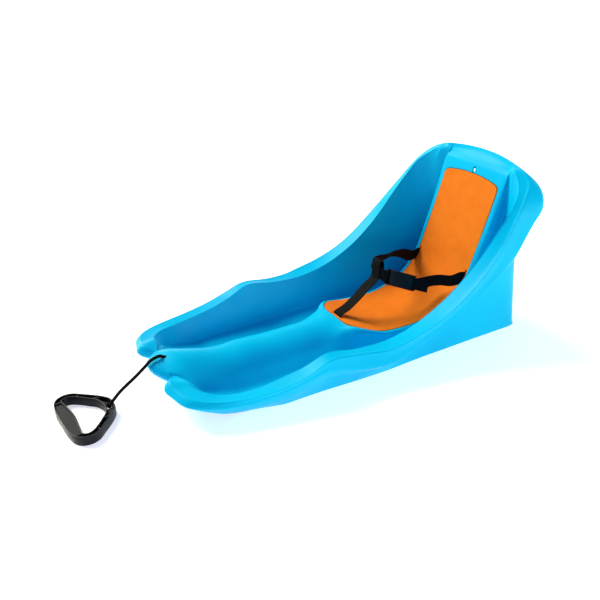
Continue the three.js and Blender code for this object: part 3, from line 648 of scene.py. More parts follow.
@dataclass(frozen=True)
class BraidedCord:
    """Black braided cord, its strands in the mesh and its fibres here."""

    base: tuple = (0.003, 0.003, 0.0035)
    worn: tuple = (0.009, 0.009, 0.010)
    fibre_scale: float = 1600.0
    fibre_height: float = 0.1 * MM
    roughness: float = 0.5
    mirror: float = 0.03

    def make(self) -> bpy.types.Material:
        """Fibres are a fine noise in colour and height."""
        tree = Tree("braided_cord_black")
        fibre = tree.noise(tree.coordinates(), self.fibre_scale, detail=4.0, roughness=0.7)
        return tree.surface(
            Base_Color=tree.ramp(fibre, [(0.35, self.base), (0.7, self.worn)]),
            Roughness=self.roughness, Normal=tree.bump(fibre, self.fibre_height, 0.7),
            Specular_IOR_Level=self.mirror)


@dataclass(frozen=True)
class MouldedBlack:
    """Black injection-moulded plastic with a finely eroded skin."""

    name: str = "moulded_black"
    base: tuple = (0.004, 0.004, 0.0045)
    light: tuple = (0.007, 0.007, 0.008)
    drift_scale: float = 40.0
    spark_scale: float = 1500.0
    spark_height: float = 0.03 * MM
    roughness: tuple = (0.36, 0.46)
    mirror: float = 0.22
    mirror_tint: tuple = (0.8, 0.85, 1.0, 1.0)

    def make(self) -> bpy.types.Material:
        """Fine noise in height and roughness, with a slow drift of colour."""
        tree = Tree(self.name)
        where = tree.coordinates()
        drift = tree.noise(where, self.drift_scale, detail=3.0)
        spark = tree.noise(where, self.spark_scale, detail=3.0)
        return tree.surface(
            Base_Color=tree.ramp(drift, [(0.35, self.base), (0.65, self.light)]),
            Roughness=tree.span(spark, *self.roughness),
            Normal=tree.bump(spark, self.spark_height, 0.6),
            Specular_IOR_Level=self.mirror, Specular_Tint=self.mirror_tint)


@dataclass(frozen=True)
class Station:
    """One cut across the half hull, as shares of the half width, the length and the height.

    Its places are the spine, the raised middle's edge, the well's foot, the side wall's foot, the
    inner rim, the flange's ridge, the band's fold, the skirt's top and the lowest edge.
    """

    spine: tuple
    edge: tuple
    foot: tuple
    wall: tuple
    rim: tuple
    ridge: tuple
    fold: tuple
    skirt: tuple
    ground: tuple

    def shares(self) -> list:
        """The nine named places as x, y and z shares; the edge's y is the spine's."""
        y, spine_z = self.spine
        edge_x, edge_z = self.edge
        return [(0, y, spine_z), (edge_x, y, edge_z), self.foot, self.wall, self.rim, self.ridge,
                self.fold, self.skirt, self.ground]


# The hull's stations, from the nose to the top of the seat back.
STATIONS = [
    Station((0.033, 0.204), (0.2, 0.18), (0.215, 0.037, 0.166), (0.235, 0.041, 0.162),
            (0.262, 0.045, 0.166), (0.24, 0.034, 0.16), (0.235, 0.032, 0.13),
            (0.234, 0.036, 0.12), (0.232, 0.041, 0.11)),
    Station((0.062, 0.21), (0.237, 0.168), (0.32, 0.068, 0.132), (0.375, 0.068, 0.138),
            (0.42, 0.054, 0.177), (0.345, 0.019, 0.186), (0.35, 0.006, 0.137),
            (0.345, 0.012, 0.122), (0.335, 0.024, 0.114)),
    Station((0.089, 0.201), (0.24, 0.138), (0.345, 0.094, 0.07), (0.452, 0.084, 0.1),
            (0.496, 0.057, 0.168), (0.469, 0.021, 0.171), (0.485, 0.012, 0.132),
            (0.473, 0.024, 0.113), (0.46, 0.035, 0.1)),
    Station((0.121, 0.183), (0.253, 0.102), (0.372, 0.126, 0.038), (0.539, 0.107, 0.06),
            (0.63, 0.085, 0.153), (0.658, 0.041, 0.159), (0.663, 0.029, 0.123),
            (0.637, 0.042, 0.097), (0.61, 0.055, 0.08)),
    Station((0.155, 0.162), (0.259, 0.081), (0.394, 0.16, 0.022), (0.604, 0.15, 0.024),
            (0.709, 0.13, 0.141), (0.787, 0.09, 0.147), (0.798, 0.086, 0.114),
            (0.754, 0.096, 0.07), (0.71, 0.105, 0.04)),
    Station((0.195, 0.15), (0.264, 0.072), (0.41, 0.2, 0), (0.636, 0.198, 0),
            (0.755, 0.191, 0.147), (0.879, 0.171, 0.144), (0.868, 0.17, 0.108),
            (0.819, 0.173, 0.059), (0.706, 0.179, 0)),
    Station((0.237, 0.156), (0.27, 0.069), (0.42, 0.243, 0), (0.652, 0.243, 0),
            (0.771, 0.251, 0.171), (0.922, 0.244, 0.162), (0.9, 0.244, 0.126),
            (0.857, 0.245, 0.069), (0.776, 0.248, 0)),
    Station((0.297, 0.146), (0.27, 0.066), (0.42, 0.301, 0), (0.652, 0.301, 0),
            (0.795, 0.298, 0.198), (0.935, 0.296, 0.195), (0.911, 0.296, 0.15),
            (0.859, 0.297, 0.082), (0.782, 0.298, 0)),
    Station((0.363, 0.141), (0.27, 0.066), (0.42, 0.367, 0), (0.658, 0.367, 0),
            (0.814, 0.357, 0.246), (0.933, 0.354, 0.237), (0.922, 0.354, 0.171),
            (0.868, 0.356, 0.111), (0.787, 0.359, 0)),
    Station((0.436, 0.143), (0.27, 0.069), (0.42, 0.436, 0), (0.668, 0.436, 0),
            (0.822, 0.428, 0.219), (0.935, 0.424, 0.219), (0.927, 0.424, 0.129),
            (0.877, 0.426, 0.09), (0.803, 0.428, 0)),
    Station((0.496, 0.147), (0.27, 0.12), (0.426, 0.496, 0), (0.679, 0.496, 0),
            (0.822, 0.496, 0.207), (0.981, 0.496, 0.204), (0.965, 0.496, 0.108),
            (0.889, 0.496, 0.07), (0.814, 0.496, 0)),
    Station((0.524, 0.141), (0.345, 0.141), (0.452, 0.527, 0), (0.685, 0.529, 0),
            (0.822, 0.532, 0.21), (0.997, 0.534, 0.215), (0.976, 0.534, 0.114),
            (0.881, 0.534, 0.08), (0.817, 0.534, 0)),
    Station((0.589, 0.099), (0.426, 0.099), (0.474, 0.589, 0), (0.685, 0.589, 0),
            (0.819, 0.589, 0.234), (1, 0.589, 0.24), (0.971, 0.589, 0.15),
            (0.841, 0.589, 0.12), (0.809, 0.589, 0)),
    Station((0.651, 0.084), (0.442, 0.084), (0.48, 0.651, 0), (0.685, 0.651, 0),
            (0.817, 0.649, 0.285), (0.997, 0.65, 0.285), (0.965, 0.655, 0.204),
            (0.823, 0.652, 0.186), (0.8, 0.651, 0)),
    Station((0.728, 0.092), (0.447, 0.092), (0.49, 0.728, 0), (0.685, 0.733, 0),
            (0.817, 0.716, 0.372), (0.992, 0.711, 0.357), (0.965, 0.721, 0.264),
            (0.821, 0.721, 0.248), (0.8, 0.721, 0)),
    Station((0.814, 0.168), (0.453, 0.168), (0.496, 0.834, 0), (0.69, 0.834, 0),
            (0.82, 0.788, 0.514), (0.987, 0.781, 0.48), (0.96, 0.792, 0.351),
            (0.819, 0.794, 0.333), (0.798, 0.794, 0)),
    Station((0.863, 0.294), (0.458, 0.294), (0.496, 0.924, 0.02), (0.695, 0.914, 0.03),
            (0.82, 0.847, 0.667), (0.96, 0.841, 0.613), (0.96, 0.85, 0.453),
            (0.817, 0.861, 0.435), (0.798, 0.863, 0)),
    Station((0.89, 0.45), (0.464, 0.45), (0.496, 0.953, 0.24), (0.69, 0.942, 0.33),
            (0.814, 0.885, 0.763), (0.916, 0.885, 0.727), (0.943, 0.894, 0.529),
            (0.8, 0.912, 0.513), (0.798, 0.919, 0)),
    Station((0.915, 0.625), (0.464, 0.625), (0.49, 0.952, 0.571), (0.645, 0.94, 0.646),
            (0.782, 0.914, 0.847), (0.852, 0.926, 0.844), (0.927, 0.94, 0.69),
            (0.752, 0.932, 0.66), (0.787, 0.964, 0)),
    Station((0.935, 0.775), (0.464, 0.775), (0.485, 0.956, 0.757), (0.59, 0.943, 0.835),
            (0.701, 0.935, 0.901), (0.771, 0.958, 0.916), (0.9, 0.971, 0.772),
            (0.601, 0.966, 0.745), (0.733, 0.981, 0)),
    Station((0.951, 0.901), (0.464, 0.901), (0.474, 0.957, 0.916), (0.545, 0.947, 0.94),
            (0.582, 0.948, 0.949), (0.625, 0.968, 0.961), (0.782, 0.992, 0.826),
            (0.431, 0.983, 0.8), (0.604, 0.988, 0)),
    Station((0.962, 0.943), (0.453, 0.94), (0.459, 0.959, 0.943), (0.485, 0.958, 0.949),
            (0.501, 0.956, 0.952), (0.496, 0.969, 0.982), (0.539, 0.996, 0.853),
            (0.323, 0.986, 0.835), (0.453, 0.991, 0)),
]


@dataclass
class SeatLine:
    """The seat's face on the centre line, measured from the pad's front end to its top end."""

    front_share: float = 0.511
    top_share: float = 0.9455
    samples: int = 2400
    line: Array = field(init=False)
    run: Array = field(init=False)

    def __post_init__(self) -> None:
        """Samples the spine's curve between the two ends and adds up its length."""
        spine = place([(0, s.spine[0], s.spine[1]) for s in STATIONS])
        curve = catmull_rom(spine, np.linspace(0, 1, self.samples))
        low, high = (NOSE_Y + share * HULL_LENGTH for share in (self.front_share, self.top_share))
        self.line = curve[(curve[:, 1] >= low) & (curve[:, 1] <= high)]
        self.run = run_along(self.line)

    @property
    def length(self) -> float:
        """The length of the seat's face along its curve."""
        return float(self.run[-1])

    def at(self, x: Array, s: Array, up: Array) -> Array:
        """Places on the seat.

        The point of the curve at s, carried on straight past its ends, moved up its normal.

        Args:
            x: across the seat.
            s: along the seat from the pad's front end.
            up: over the seat's face.

        Returns:
            The points.
        """
        x, s, up = np.broadcast_arrays(*(np.asarray(v, float) for v in (x, s, up)))
        inside = np.clip(s, 0, self.length)
        y, z = (np.interp(inside, self.run, self.line[:, k]) for k in (1, 2))
        tangent = np.gradient(self.line[:, 1:], self.run, axis=0)
        ty, tz = (np.interp(inside, self.run, tangent[:, k]) for k in (0, 1))
        past = s - inside
        return np.stack([x, y + ty * past - tz * up, z + tz * past + ty * up], axis=-1)


SEAT = SeatLine()


def tool(points: Array, faces: list) -> Piece:
    """A closed piece that cuts others."""
    return Piece("tool", points, faces).face_outward()


def box_piece(centre: Array, axes: Array, half: Array) -> Piece:
    """A box about a centre.

    Args:
        centre: the box's centre.
        axes: its three directions, as rows.
        half: half its size along each direction.

    Returns:
        The box.
    """
    signs = np.array([(x, y, z) for x in (-1, 1) for y in (-1, 1) for z in (-1, 1)], float)
    points = np.asarray(centre) + (signs * np.asarray(half)) @ np.asarray(axes)
    faces = [(0, 1, 3, 2), (4, 6, 7, 5), (0, 4, 5, 1), (2, 3, 7, 6), (0, 2, 6, 4), (1, 5, 7, 3)]
    return tool(points, faces)


def rod_piece(start: Array, end: Array, radius: float, sides: int = 32,
              wide: float = 1.0) -> Piece:
    """A rod that runs lengthwise through the hull: a ring at each end, and their caps.

    At the angle a, a ring's point is radius cos a down and radius wide sin a across.

    Args:
        start: one end's centre.
        end: the other end's centre.
        radius: half the rod's height.
        sides: the ring's points.
        wide: the rod's width as a share of its height.

    Returns:
        The rod.
    """
    way = unit(end - start)
    side = unit(np.cross(way, ACROSS))
    angle = full_turn(sides)[:, None]
    ring = radius * (np.cos(angle) * side + wide * np.sin(angle) * np.cross(way, side))
    return tool(np.concatenate([start + ring, end + ring]), tube_faces(2, sides))


@dataclass
class SlotSizes:
    """The three webbing slots through the seat, and where each one lies."""

    width: float = 4.4 * MM
    end_play: float = 4.5 * MM
    sag: float = 1.5 * MM
    crotch_inset: float = 5.7 * MM
    waist_inset: float = 3.9 * MM
    waist_share: float = 0.592

    def spot(self, name: str) -> tuple:
        """A slot's x, its place along the seat, and whether it runs lengthwise.

        Args:
            name: which slot, crotch, left or right.

        Returns:
            The three values.
        """
        x = PAD_HALF_WIDTH - self.waist_inset
        s = self.waist_share * SEAT.length
        spots = {"crotch": (0.0, self.crotch_inset, False), "left": (x, s, True),
                 "right": (-x, s, True)}
        return spots[name]

    def frame(self, name: str) -> tuple:
        """A slot's centre on the seat, and its long way, straight up and narrow way.

        Args:
            name: which slot, crotch, left or right.

        Returns:
            The point and the three directions.
        """
        x, s, lengthwise = self.spot(name)
        centre = SEAT.at(x, s, 0.0)
        up = unit(SEAT.at(x, s, 5 * MM) - centre)
        onward = np.cross(up, ACROSS)
        wide, narrow = (onward, ACROSS) if lengthwise else (ACROSS, onward)
        return centre, wide, up, narrow

    def cutters(self) -> list[Piece]:
        """A block through each slot."""
        half = np.array([WEBBING_WIDTH / 2 + self.end_play, OVERRUN, self.width / 2])
        made = []
        for name in ("crotch", "left", "right"):
            centre, wide, up, narrow = self.frame(name)
            made.append(box_piece(centre, np.array([wide, up, narrow]), half))
        return made


SLOTS = SlotSizes()


@dataclass
class PadOutline:
    """The pad's outline on the seat, and the slabs that follow it."""

    thickness: float = 5 * MM
    proud: float = 1.5 * MM
    clearance: float = 1.5 * MM
    front_round: float = 90 * MM
    front_power: float = 4.5
    top_rise: float = 9 * MM
    top_round: float = 10 * MM
    top_power: float = 16
    rows: int = 150
    half_columns: int = 26

    @property
    def drop(self) -> float:
        """How deep the pad's bed is sunk below the seat's face."""
        return self.thickness - self.proud

    @staticmethod
    def setback(a: Array, power: float) -> Array:
        """The share of its rounding that an end falls back by: 1 - sqrt(1 - |a| ** power)."""
        return 1 - np.sqrt(np.maximum(1 - np.abs(a) ** power, 0.0))

    def slab(self, name: str, grow: float, low: float, high: float) -> Piece:
        """A closed slab in the pad's outline.

        At a share a of the half width both ends fall back by their rounding, and the top also by
        its rise times a squared; the columns crowd toward the sides as a sine does.

        Args:
            name: the piece's name.
            grow: how far the outline is moved outward.
            low: the lower face over the seat.
            high: the upper face over the seat.

        Returns:
            The slab.
        """
        a = np.sin(np.linspace(-1, 1, 2 * self.half_columns + 1) * np.pi / 2)
        front = self.front_round * self.setback(a, self.front_power) - grow
        top = SEAT.length + grow - self.top_rise * a ** 2
        top = top - self.top_round * self.setback(a, self.top_power)
        b = np.linspace(0, 1, self.rows)[:, None]
        s = front + (top - front) * b
        x = np.broadcast_to(a * (PAD_HALF_WIDTH + grow), s.shape)
        layers = [SEAT.at(x, s, up).reshape(-1, 3) for up in (high, low)]
        rows, columns = s.shape
        index = np.arange(rows * columns).reshape(rows, columns)
        loop = np.concatenate([index[0], index[1:, -1], index[-1, -2::-1], index[-2:0:-1, 0]])
        following = np.roll(loop, -1)
        offset = rows * columns
        upper = grid_quads(rows, columns)
        lower = grid_quads(rows, columns, first=offset)[:, ::-1]
        side = np.stack([loop, loop + offset, following + offset, following], axis=1)
        faces = np.concatenate([upper, lower, side])
        return Piece(name, np.concatenate(layers), faces.tolist()).face_outward()


@dataclass
class NoseGrooves:
    """The fine moulded lines across the snout."""

    first: float = 5 * MM
    pitch: float = 4.2 * MM
    count: int = 6
    radius: float = 1.4 * MM
    proud: float = 0.25 * MM
    axis_height: float = 45 * MM
    reach: float = 50 * MM
    widest_degrees: float = 100.0
    rays: int = 70
    longest_gap: float = 4 * MM
    step: float = 0.8 * MM
    sides: int = 10

    def outline(self, skin: BVHTree, y: float) -> Array:
        """The snout's outline at a place along the hull, from one flank over the top to the other.

        Rays point at the snout's axis from an arc round it. The outline ends at the first ray that
        no longer meets the outside of the skin close to the one before, and is mirrored.

        Args:
            skin: the hull's skin.
            y: the place along the hull.

        Returns:
            The outline's points, evenly spaced.
        """
        axis, half = Vector((0.0, y, self.axis_height)), []
        for angle in np.radians(np.linspace(0, self.widest_degrees, self.rays)):
            out = Vector((math.sin(angle), 0.0, math.cos(angle)))
            spot, normal, _, _ = skin.ray_cast(axis + out * self.reach, -out, self.reach)
            if spot is None or normal.dot(out) <= 0:
                break
            if half and (spot - half[-1]).length > self.longest_gap:
                break
            half.append(spot + out * self.proud)
        right = np.array(half)
        return evenly(np.concatenate([right[:0:-1] * MIRROR, right]), self.step)

    def cutters(self, hull: Piece) -> list[Piece]:
        """A thin rod along the skin for each line: a ring at every point of its outline.

        Args:
            hull: the hull before it is cut.

        Returns:
            The rods.
        """
        faces = [list(face.vertices) for face in hull.object.data.polygons]
        skin = BVHTree.FromPolygons(hull.points().tolist(), faces)
        angle, onward = full_turn(self.sides)[None, :, None], np.array([0.0, 1.0, 0.0])
        made = []
        for k in range(self.count):
            path = self.outline(skin, NOSE_Y + self.first + k * self.pitch)
            out = np.cross(unit(np.gradient(path, axis=0)), -onward)[:, None]
            rings = path[:, None] + self.radius * (np.cos(angle) * onward + np.sin(angle) * out)
            made.append(tool(rings.reshape(-1, 3), tube_faces(len(path), self.sides)))
        return made


@dataclass
class Hull:
    """The hull: one moulded skin with two foot wells, a seat back and a rolled flange."""

    wall: float = 3 * MM
    steps: int = 2
    levels: int = 2
    fits: int = 3
    hold: float = 8 * MM
    middle_shares: tuple = (0.0, 0.35, 0.7, 1.0)
    side_wall_shares: tuple = ((0.25, 0.06), (0.48, 0.42), (0.93, 0.92))
    flat_wall_share: float = 0.33
    belly_shares: tuple = (0.9, 0.5)
    top_columns: tuple = ("spine", "", "", "edge", "", "foot", "", "wall", "", "", "", "rim")
    band_columns: tuple = ("rim", "", "", "ridge", "", "fold", "skirt", "", "", "ground")
    creases: tuple = (("edge", 0.2), ("foot", 0.25), ("wall", 0.2), ("rim", 0.34),
                      ("ridge", 0.32), ("fold", 0.32), ("skirt", 0.3), ("ground", 0.4))
    nose_tip: tuple = ((0.013, 0.2), (0.0, 0.17), (0.002, 0.15), (0.008, 0.136))
    back_top: tuple = ((0.983, 1.0), (1.0, 0.88), (0.988, 0.89), (0.996, 0.0))
    nose_bow: float = 1.8
    back_bow: float = 2.0
    edge_border: float = 8 * MM
    bed_border: float = 12 * MM
    ground_reach: float = 0.3 * MM
    least_agreement: float = 0.5
    hang_hole: tuple = (0.0, 0.954, 0.886)
    hang_half_width: float = 3.75 * MM
    hang_half_height: float = 7 * MM
    hang_sides: int = 48
    grip_hole: tuple = (0.0, 1.0, 0.805)
    grip_half_width: float = 56 * MM
    grip_half_height: float = 21 * MM
    grip_sides: int = 96
    cord_hole_radius: float = 4.2 * MM
    cord_hole_reach: float = 1.4
    smooth_degrees: float = 32.0
    pad: PadOutline = field(default_factory=PadOutline)

    def curves(self) -> dict[str, Array]:
        """The named curves along the half hull, each a Catmull-Rom curve through its stations."""
        shares = np.array([station.shares() for station in STATIONS], float)
        t = np.linspace(0, 1, (len(STATIONS) - 1) * self.steps + 1)
        rows = catmull_rom(place(shares), t)
        names = ("spine", "edge", "foot", "wall", "rim", "ridge", "fold", "skirt", "ground")
        curves = {name: rows[:, k] for k, name in enumerate(names)}
        for name, least in (("foot", self.wall), ("wall", self.wall), ("ground", 0.0)):
            curves[name][:, 2] = np.maximum(curves[name][:, 2], least)
        return curves

    def top_grid(self, c: dict[str, Array]) -> Array:
        """Rows along the hull, columns from the centre line over the well to the rim.

        The middle is a parabola across, from the spine to its edge; the rest are straight blends.

        Args:
            c: the named curves.

        Returns:
            The points, by row and column.
        """
        t = np.array(self.middle_shares)[None, :, None]
        spine, edge = c["spine"][:, None], c["edge"][:, None]
        middle = spine + (edge - spine) * t * t
        middle[..., 0] = (edge * t)[..., 0]
        flat = (c["wall"][:, 2] - self.wall) / (self.flat_wall_share * HULL_HEIGHT)
        side = []
        for across, up in self.side_wall_shares:
            column = mix(c["wall"], c["rim"], across)
            height = mix(up, across, np.minimum(flat, 1.0))
            column[:, 2] = mix(c["wall"][:, 2], c["rim"][:, 2], height)
            side.append(column)
        flank, floor = mix(c["edge"], c["foot"], 0.5), mix(c["foot"], c["wall"], 0.5)
        outer = [flank, c["foot"], floor, c["wall"], *side, c["rim"]]
        return np.concatenate([middle, np.stack(outer, axis=1)], axis=1)

    def held(self, a: Array, b: Array) -> Array:
        """A place near a on the straight way to b, as far as the hold or a third of the way."""
        gap = np.linalg.norm(b - a, axis=-1, keepdims=True)
        return mix(a, b, np.minimum(self.hold / np.maximum(gap, TINY), 1 / 3))

    def band(self, rim: Array, ridge: Array, fold: Array, skirt: Array, ground: Array) -> Array:
        """The outer band's columns, from its five lines.

        The belly is a blend of the ridge and the fold, its height by a share of its own; the other
        columns between the lines hold each corner in place.

        Args:
            rim: the inner rim.
            ridge: the flange's ridge.
            fold: the band's fold.
            skirt: the skirt's top.
            ground: the lowest edge.

        Returns:
            The points, by row and column.
        """
        outward, downward = self.belly_shares
        belly = mix(ridge, fold, outward)
        belly[:, 2] = mix(ridge, fold, downward)[:, 2]
        columns = [rim, self.held(rim, ridge), self.held(ridge, rim), ridge, belly, fold, skirt,
                   self.held(skirt, ground), self.held(ground, skirt), ground]
        return np.stack(columns, axis=1)

    def end_band(self, row: Array, corner: dict[str, Array], tip: tuple, power: float) -> Array:
        """The outer band along an end row: its centre line's places blended into the corner's.

        At a share t of the corner's width, the blend is t ** power, and x is the share of the
        corner's own.

        Args:
            row: the end row of the top grid, without its rim.
            corner: the named curves' points in that row.
            tip: y and z of the ridge, the fold, the skirt and the ground on the centre line.
            power: how soon the blend bows.

        Returns:
            The points, by row and column.
        """
        t = np.minimum(row[:, 0] / corner["rim"][0], 1.0)[:, None]
        lines = []
        for name, (y, z) in zip(("ridge", "fold", "skirt", "ground"), tip):
            line = mix(place((0, y, z)), corner[name], t ** power)
            line[:, 0] = corner[name][0] * t[:, 0]
            lines.append(line)
        return self.band(row, *lines)

    def band_grid(self, c: dict[str, Array], top: Array) -> Array:
        """The outer band round the half hull: nose row, rim, and the top row back.

        Args:
            c: the named curves.
            top: the top grid, whose border the band starts from.

        Returns:
            The points, by row and column.
        """
        first = {name: curve[0] for name, curve in c.items()}
        last = {name: curve[-1] for name, curve in c.items()}
        nose = self.end_band(top[0, :-1], first, self.nose_tip, self.nose_bow)
        back = self.end_band(top[-1, :-1][::-1], last, self.back_top, self.back_bow)
        sides = self.band(*(c[name] for name in ("rim", "ridge", "fold", "skirt", "ground")))
        return np.concatenate([nose, sides, back])

    def marks(self, grid: Array, columns: tuple) -> Array:
        """Which crease lines each point of a grid lies on."""
        row = np.array([[name == kind for kind, _ in self.creases] for name in columns])
        return np.broadcast_to(row, (*grid.shape[:2], len(self.creases))).copy()

    def sheet(self) -> tuple[Array, Array, Array]:
        """The whole open skin: both grids of the half hull, mirrored and welded, and its marks."""
        c = self.curves()
        top = self.top_grid(c)
        band = self.band_grid(c, top)
        top_marks = self.marks(top, self.top_columns)
        top_marks[[0, -1]] |= [kind == "rim" for kind, _ in self.creases]
        half = np.concatenate([top.reshape(-1, 3), band.reshape(-1, 3)])
        marks = np.concatenate([m.reshape(len(m) * m.shape[1], -1)
                                for m in (top_marks, self.marks(band, self.band_columns))])
        quads = np.concatenate([grid_quads(*top.shape[:2]),
                                grid_quads(*band.shape[:2], first=top[..., 0].size)])
        faces = np.concatenate([quads, quads[:, ::-1] + len(half)])
        return weld(np.concatenate([half, half * MIRROR]), faces, np.concatenate([marks, marks]))

    def cage(self) -> tuple[Array, Array, Array]:
        """The skin with its thickness, as one closed cage of quads.

        Each point of the far side lies down the mean of its faces' normals, by the wall divided by
        how well that mean agrees with them, and the open edge is closed with a strip.
        """
        points, quads, marks = self.sheet()
        normals, agree = np.zeros_like(points), np.zeros(len(points))
        corners = points[quads]
        face = unit(np.cross(corners[:, 2] - corners[:, 0], corners[:, 3] - corners[:, 1]))
        weight = []
        for k in range(4):
            a = unit(corners[:, (k + 1) % 4] - corners[:, k])
            b = unit(corners[:, (k + 3) % 4] - corners[:, k])
            weight.append(np.arccos(np.clip((a * b).sum(1), -1, 1)))
            np.add.at(normals, quads[:, k], face * weight[k][:, None])
        normals = unit(normals)
        total = np.zeros(len(points))
        for k in range(4):
            np.add.at(agree, quads[:, k], (face * normals[quads[:, k]]).sum(1) * weight[k])
            np.add.at(total, quads[:, k], weight[k])
        agree = np.maximum(agree / np.maximum(total, TINY), self.least_agreement)
        depth = self.depth_at(points) / agree
        under = points - normals * depth[:, None]
        on_ground = points[:, 2] < self.ground_reach
        under[:, 2] = np.where(on_ground, points[:, 2], np.maximum(under[:, 2], 0.0))
        edges = np.concatenate([quads[:, [k, (k + 1) % 4]] for k in range(4)])
        codes = edges[:, 0] * len(points) + edges[:, 1]
        back = edges[:, 1] * len(points) + edges[:, 0]
        a, b = edges[~np.isin(codes, back)].T
        strip = np.stack([b, a, a + len(points), b + len(points)], axis=1)
        faces = np.concatenate([quads, quads[:, ::-1] + len(points), strip])
        return np.concatenate([points, under]), faces, marks

    def depth_at(self, points: Array) -> Array:
        """The wall's thickness: deeper under the pad, by the depth of its bed.

        Args:
            points: places on the skin.

        Returns:
            The thickness at each place.
        """
        low = NOSE_Y + SEAT.front_share * HULL_LENGTH - self.edge_border
        high = NOSE_Y + SEAT.top_share * HULL_LENGTH + self.pad.clearance
        across = np.abs(points[:, 0]) < PAD_HALF_WIDTH + self.bed_border
        under_pad = across & (points[:, 1] > low) & (points[:, 1] < high)
        return self.wall + np.where(under_pad, self.pad.drop, 0.0)

    def crease(self, piece: Piece, marks: Array) -> None:
        """Sharpens each edge between two points of one crease line, on either side of the skin.

        Args:
            piece: the cage, its outer points first.
            marks: which crease lines each outer point lies on.
        """
        mesh = piece.object.data
        ends = np.zeros(len(mesh.edges) * 2, np.int32)
        mesh.edges.foreach_get("vertices", ends)
        a, b = ends.reshape(-1, 2).T
        sharp = np.array([sharpness for _, sharpness in self.creases])
        shared = marks[a % len(marks)] & marks[b % len(marks)]
        same_side = (a < len(marks)) == (b < len(marks))
        values = (shared * sharp).max(axis=1) * same_side
        layer = mesh.attributes.new("crease_edge", "FLOAT", "EDGE")
        layer.data.foreach_set("value", values.astype(np.float32))

    def smooth(self, piece: Piece) -> None:
        """Subdivides the cage, first moved until the smooth surface passes through its points.

        Each fit moves a point of the cage by how far its smooth place is off.

        Args:
            piece: the cage.
        """
        settings = {"levels": self.levels, "render_levels": self.levels}
        wanted = piece.points()
        cage = wanted
        for _ in range(self.fits):
            reached = piece.modified("SUBSURF", **settings)
            cage = cage + wanted - Piece.points_of(reached)[:len(wanted)]
            piece.set_points(cage)
            bpy.data.meshes.remove(reached)
        piece.modify("SUBSURF", **settings)
        points = piece.points()
        points[:, 2] = np.maximum(points[:, 2], 0.0)
        piece.set_points(points)

    def cutters(self, cord_start: Array, cord_through: Array) -> list[Piece]:
        """The pad's bed, the slots, the hanging hole, the grip window and the cord's hole.

        Args:
            cord_start: where the cord's hole starts.
            cord_through: where it ends.

        Returns:
            The pieces to cut off.
        """
        bed = self.pad.slab("tool", self.pad.clearance, -self.pad.drop, OVERRUN)
        half = np.array([0.0, OVERRUN / 2, 0.0])
        windows = [
            rod_piece(place(centre) - half, place(centre) + half, height, sides, width / height)
            for centre, width, height, sides in (
                (self.hang_hole, self.hang_half_width, self.hang_half_height, self.hang_sides),
                (self.grip_hole, self.grip_half_width, self.grip_half_height, self.grip_sides))]
        cord_cut = rod_piece(cord_start, cord_through, self.cord_hole_radius)
        return [bed, *SLOTS.cutters(), *windows, cord_cut]

    def build(self, route: Array) -> Piece:
        """The finished hull: its smooth skin with the bed, the slots, holes and lines cut.

        Args:
            route: the cord's route, which starts in the hole at the nose.

        Returns:
            The hull.
        """
        points, quads, marks = self.cage()
        piece = Piece("hull_moulding", points, quads.tolist())
        self.crease(piece, marks)
        self.smooth(piece)
        through = mix(route[0], route[2], self.cord_hole_reach)
        tools = self.cutters(route[0], through) + NoseGrooves().cutters(piece)
        piece.combine(tools, "DIFFERENCE").shade(self.smooth_degrees)
        piece.dress(MouldedPolyethylene().make(), Slot.HULL)
        return piece.mount(Body.SLED, "hull_shell")


@dataclass
class SeatPad:
    """The foam pad: a sheet bent into its bed, with rounded edges and the slots through it."""

    outline: PadOutline = field(default_factory=PadOutline)
    edge_round: float = 1.1 * MM
    under_play: float = 0.6 * MM
    smooth_degrees: float = 38.0

    def build(self) -> Piece:
        """The slab with its slots, its edges rounded."""
        low = self.under_play - self.outline.drop
        piece = self.outline.slab("seat_foam_pad", 0.0, low, self.outline.proud)
        piece.combine(SLOTS.cutters(), "DIFFERENCE")
        piece.bevel(self.edge_round).shade(self.smooth_degrees)
        piece.dress(ClosedCellFoam().make(), Slot.PAD)
        return piece.mount(Body.SLED, "seat_pad")


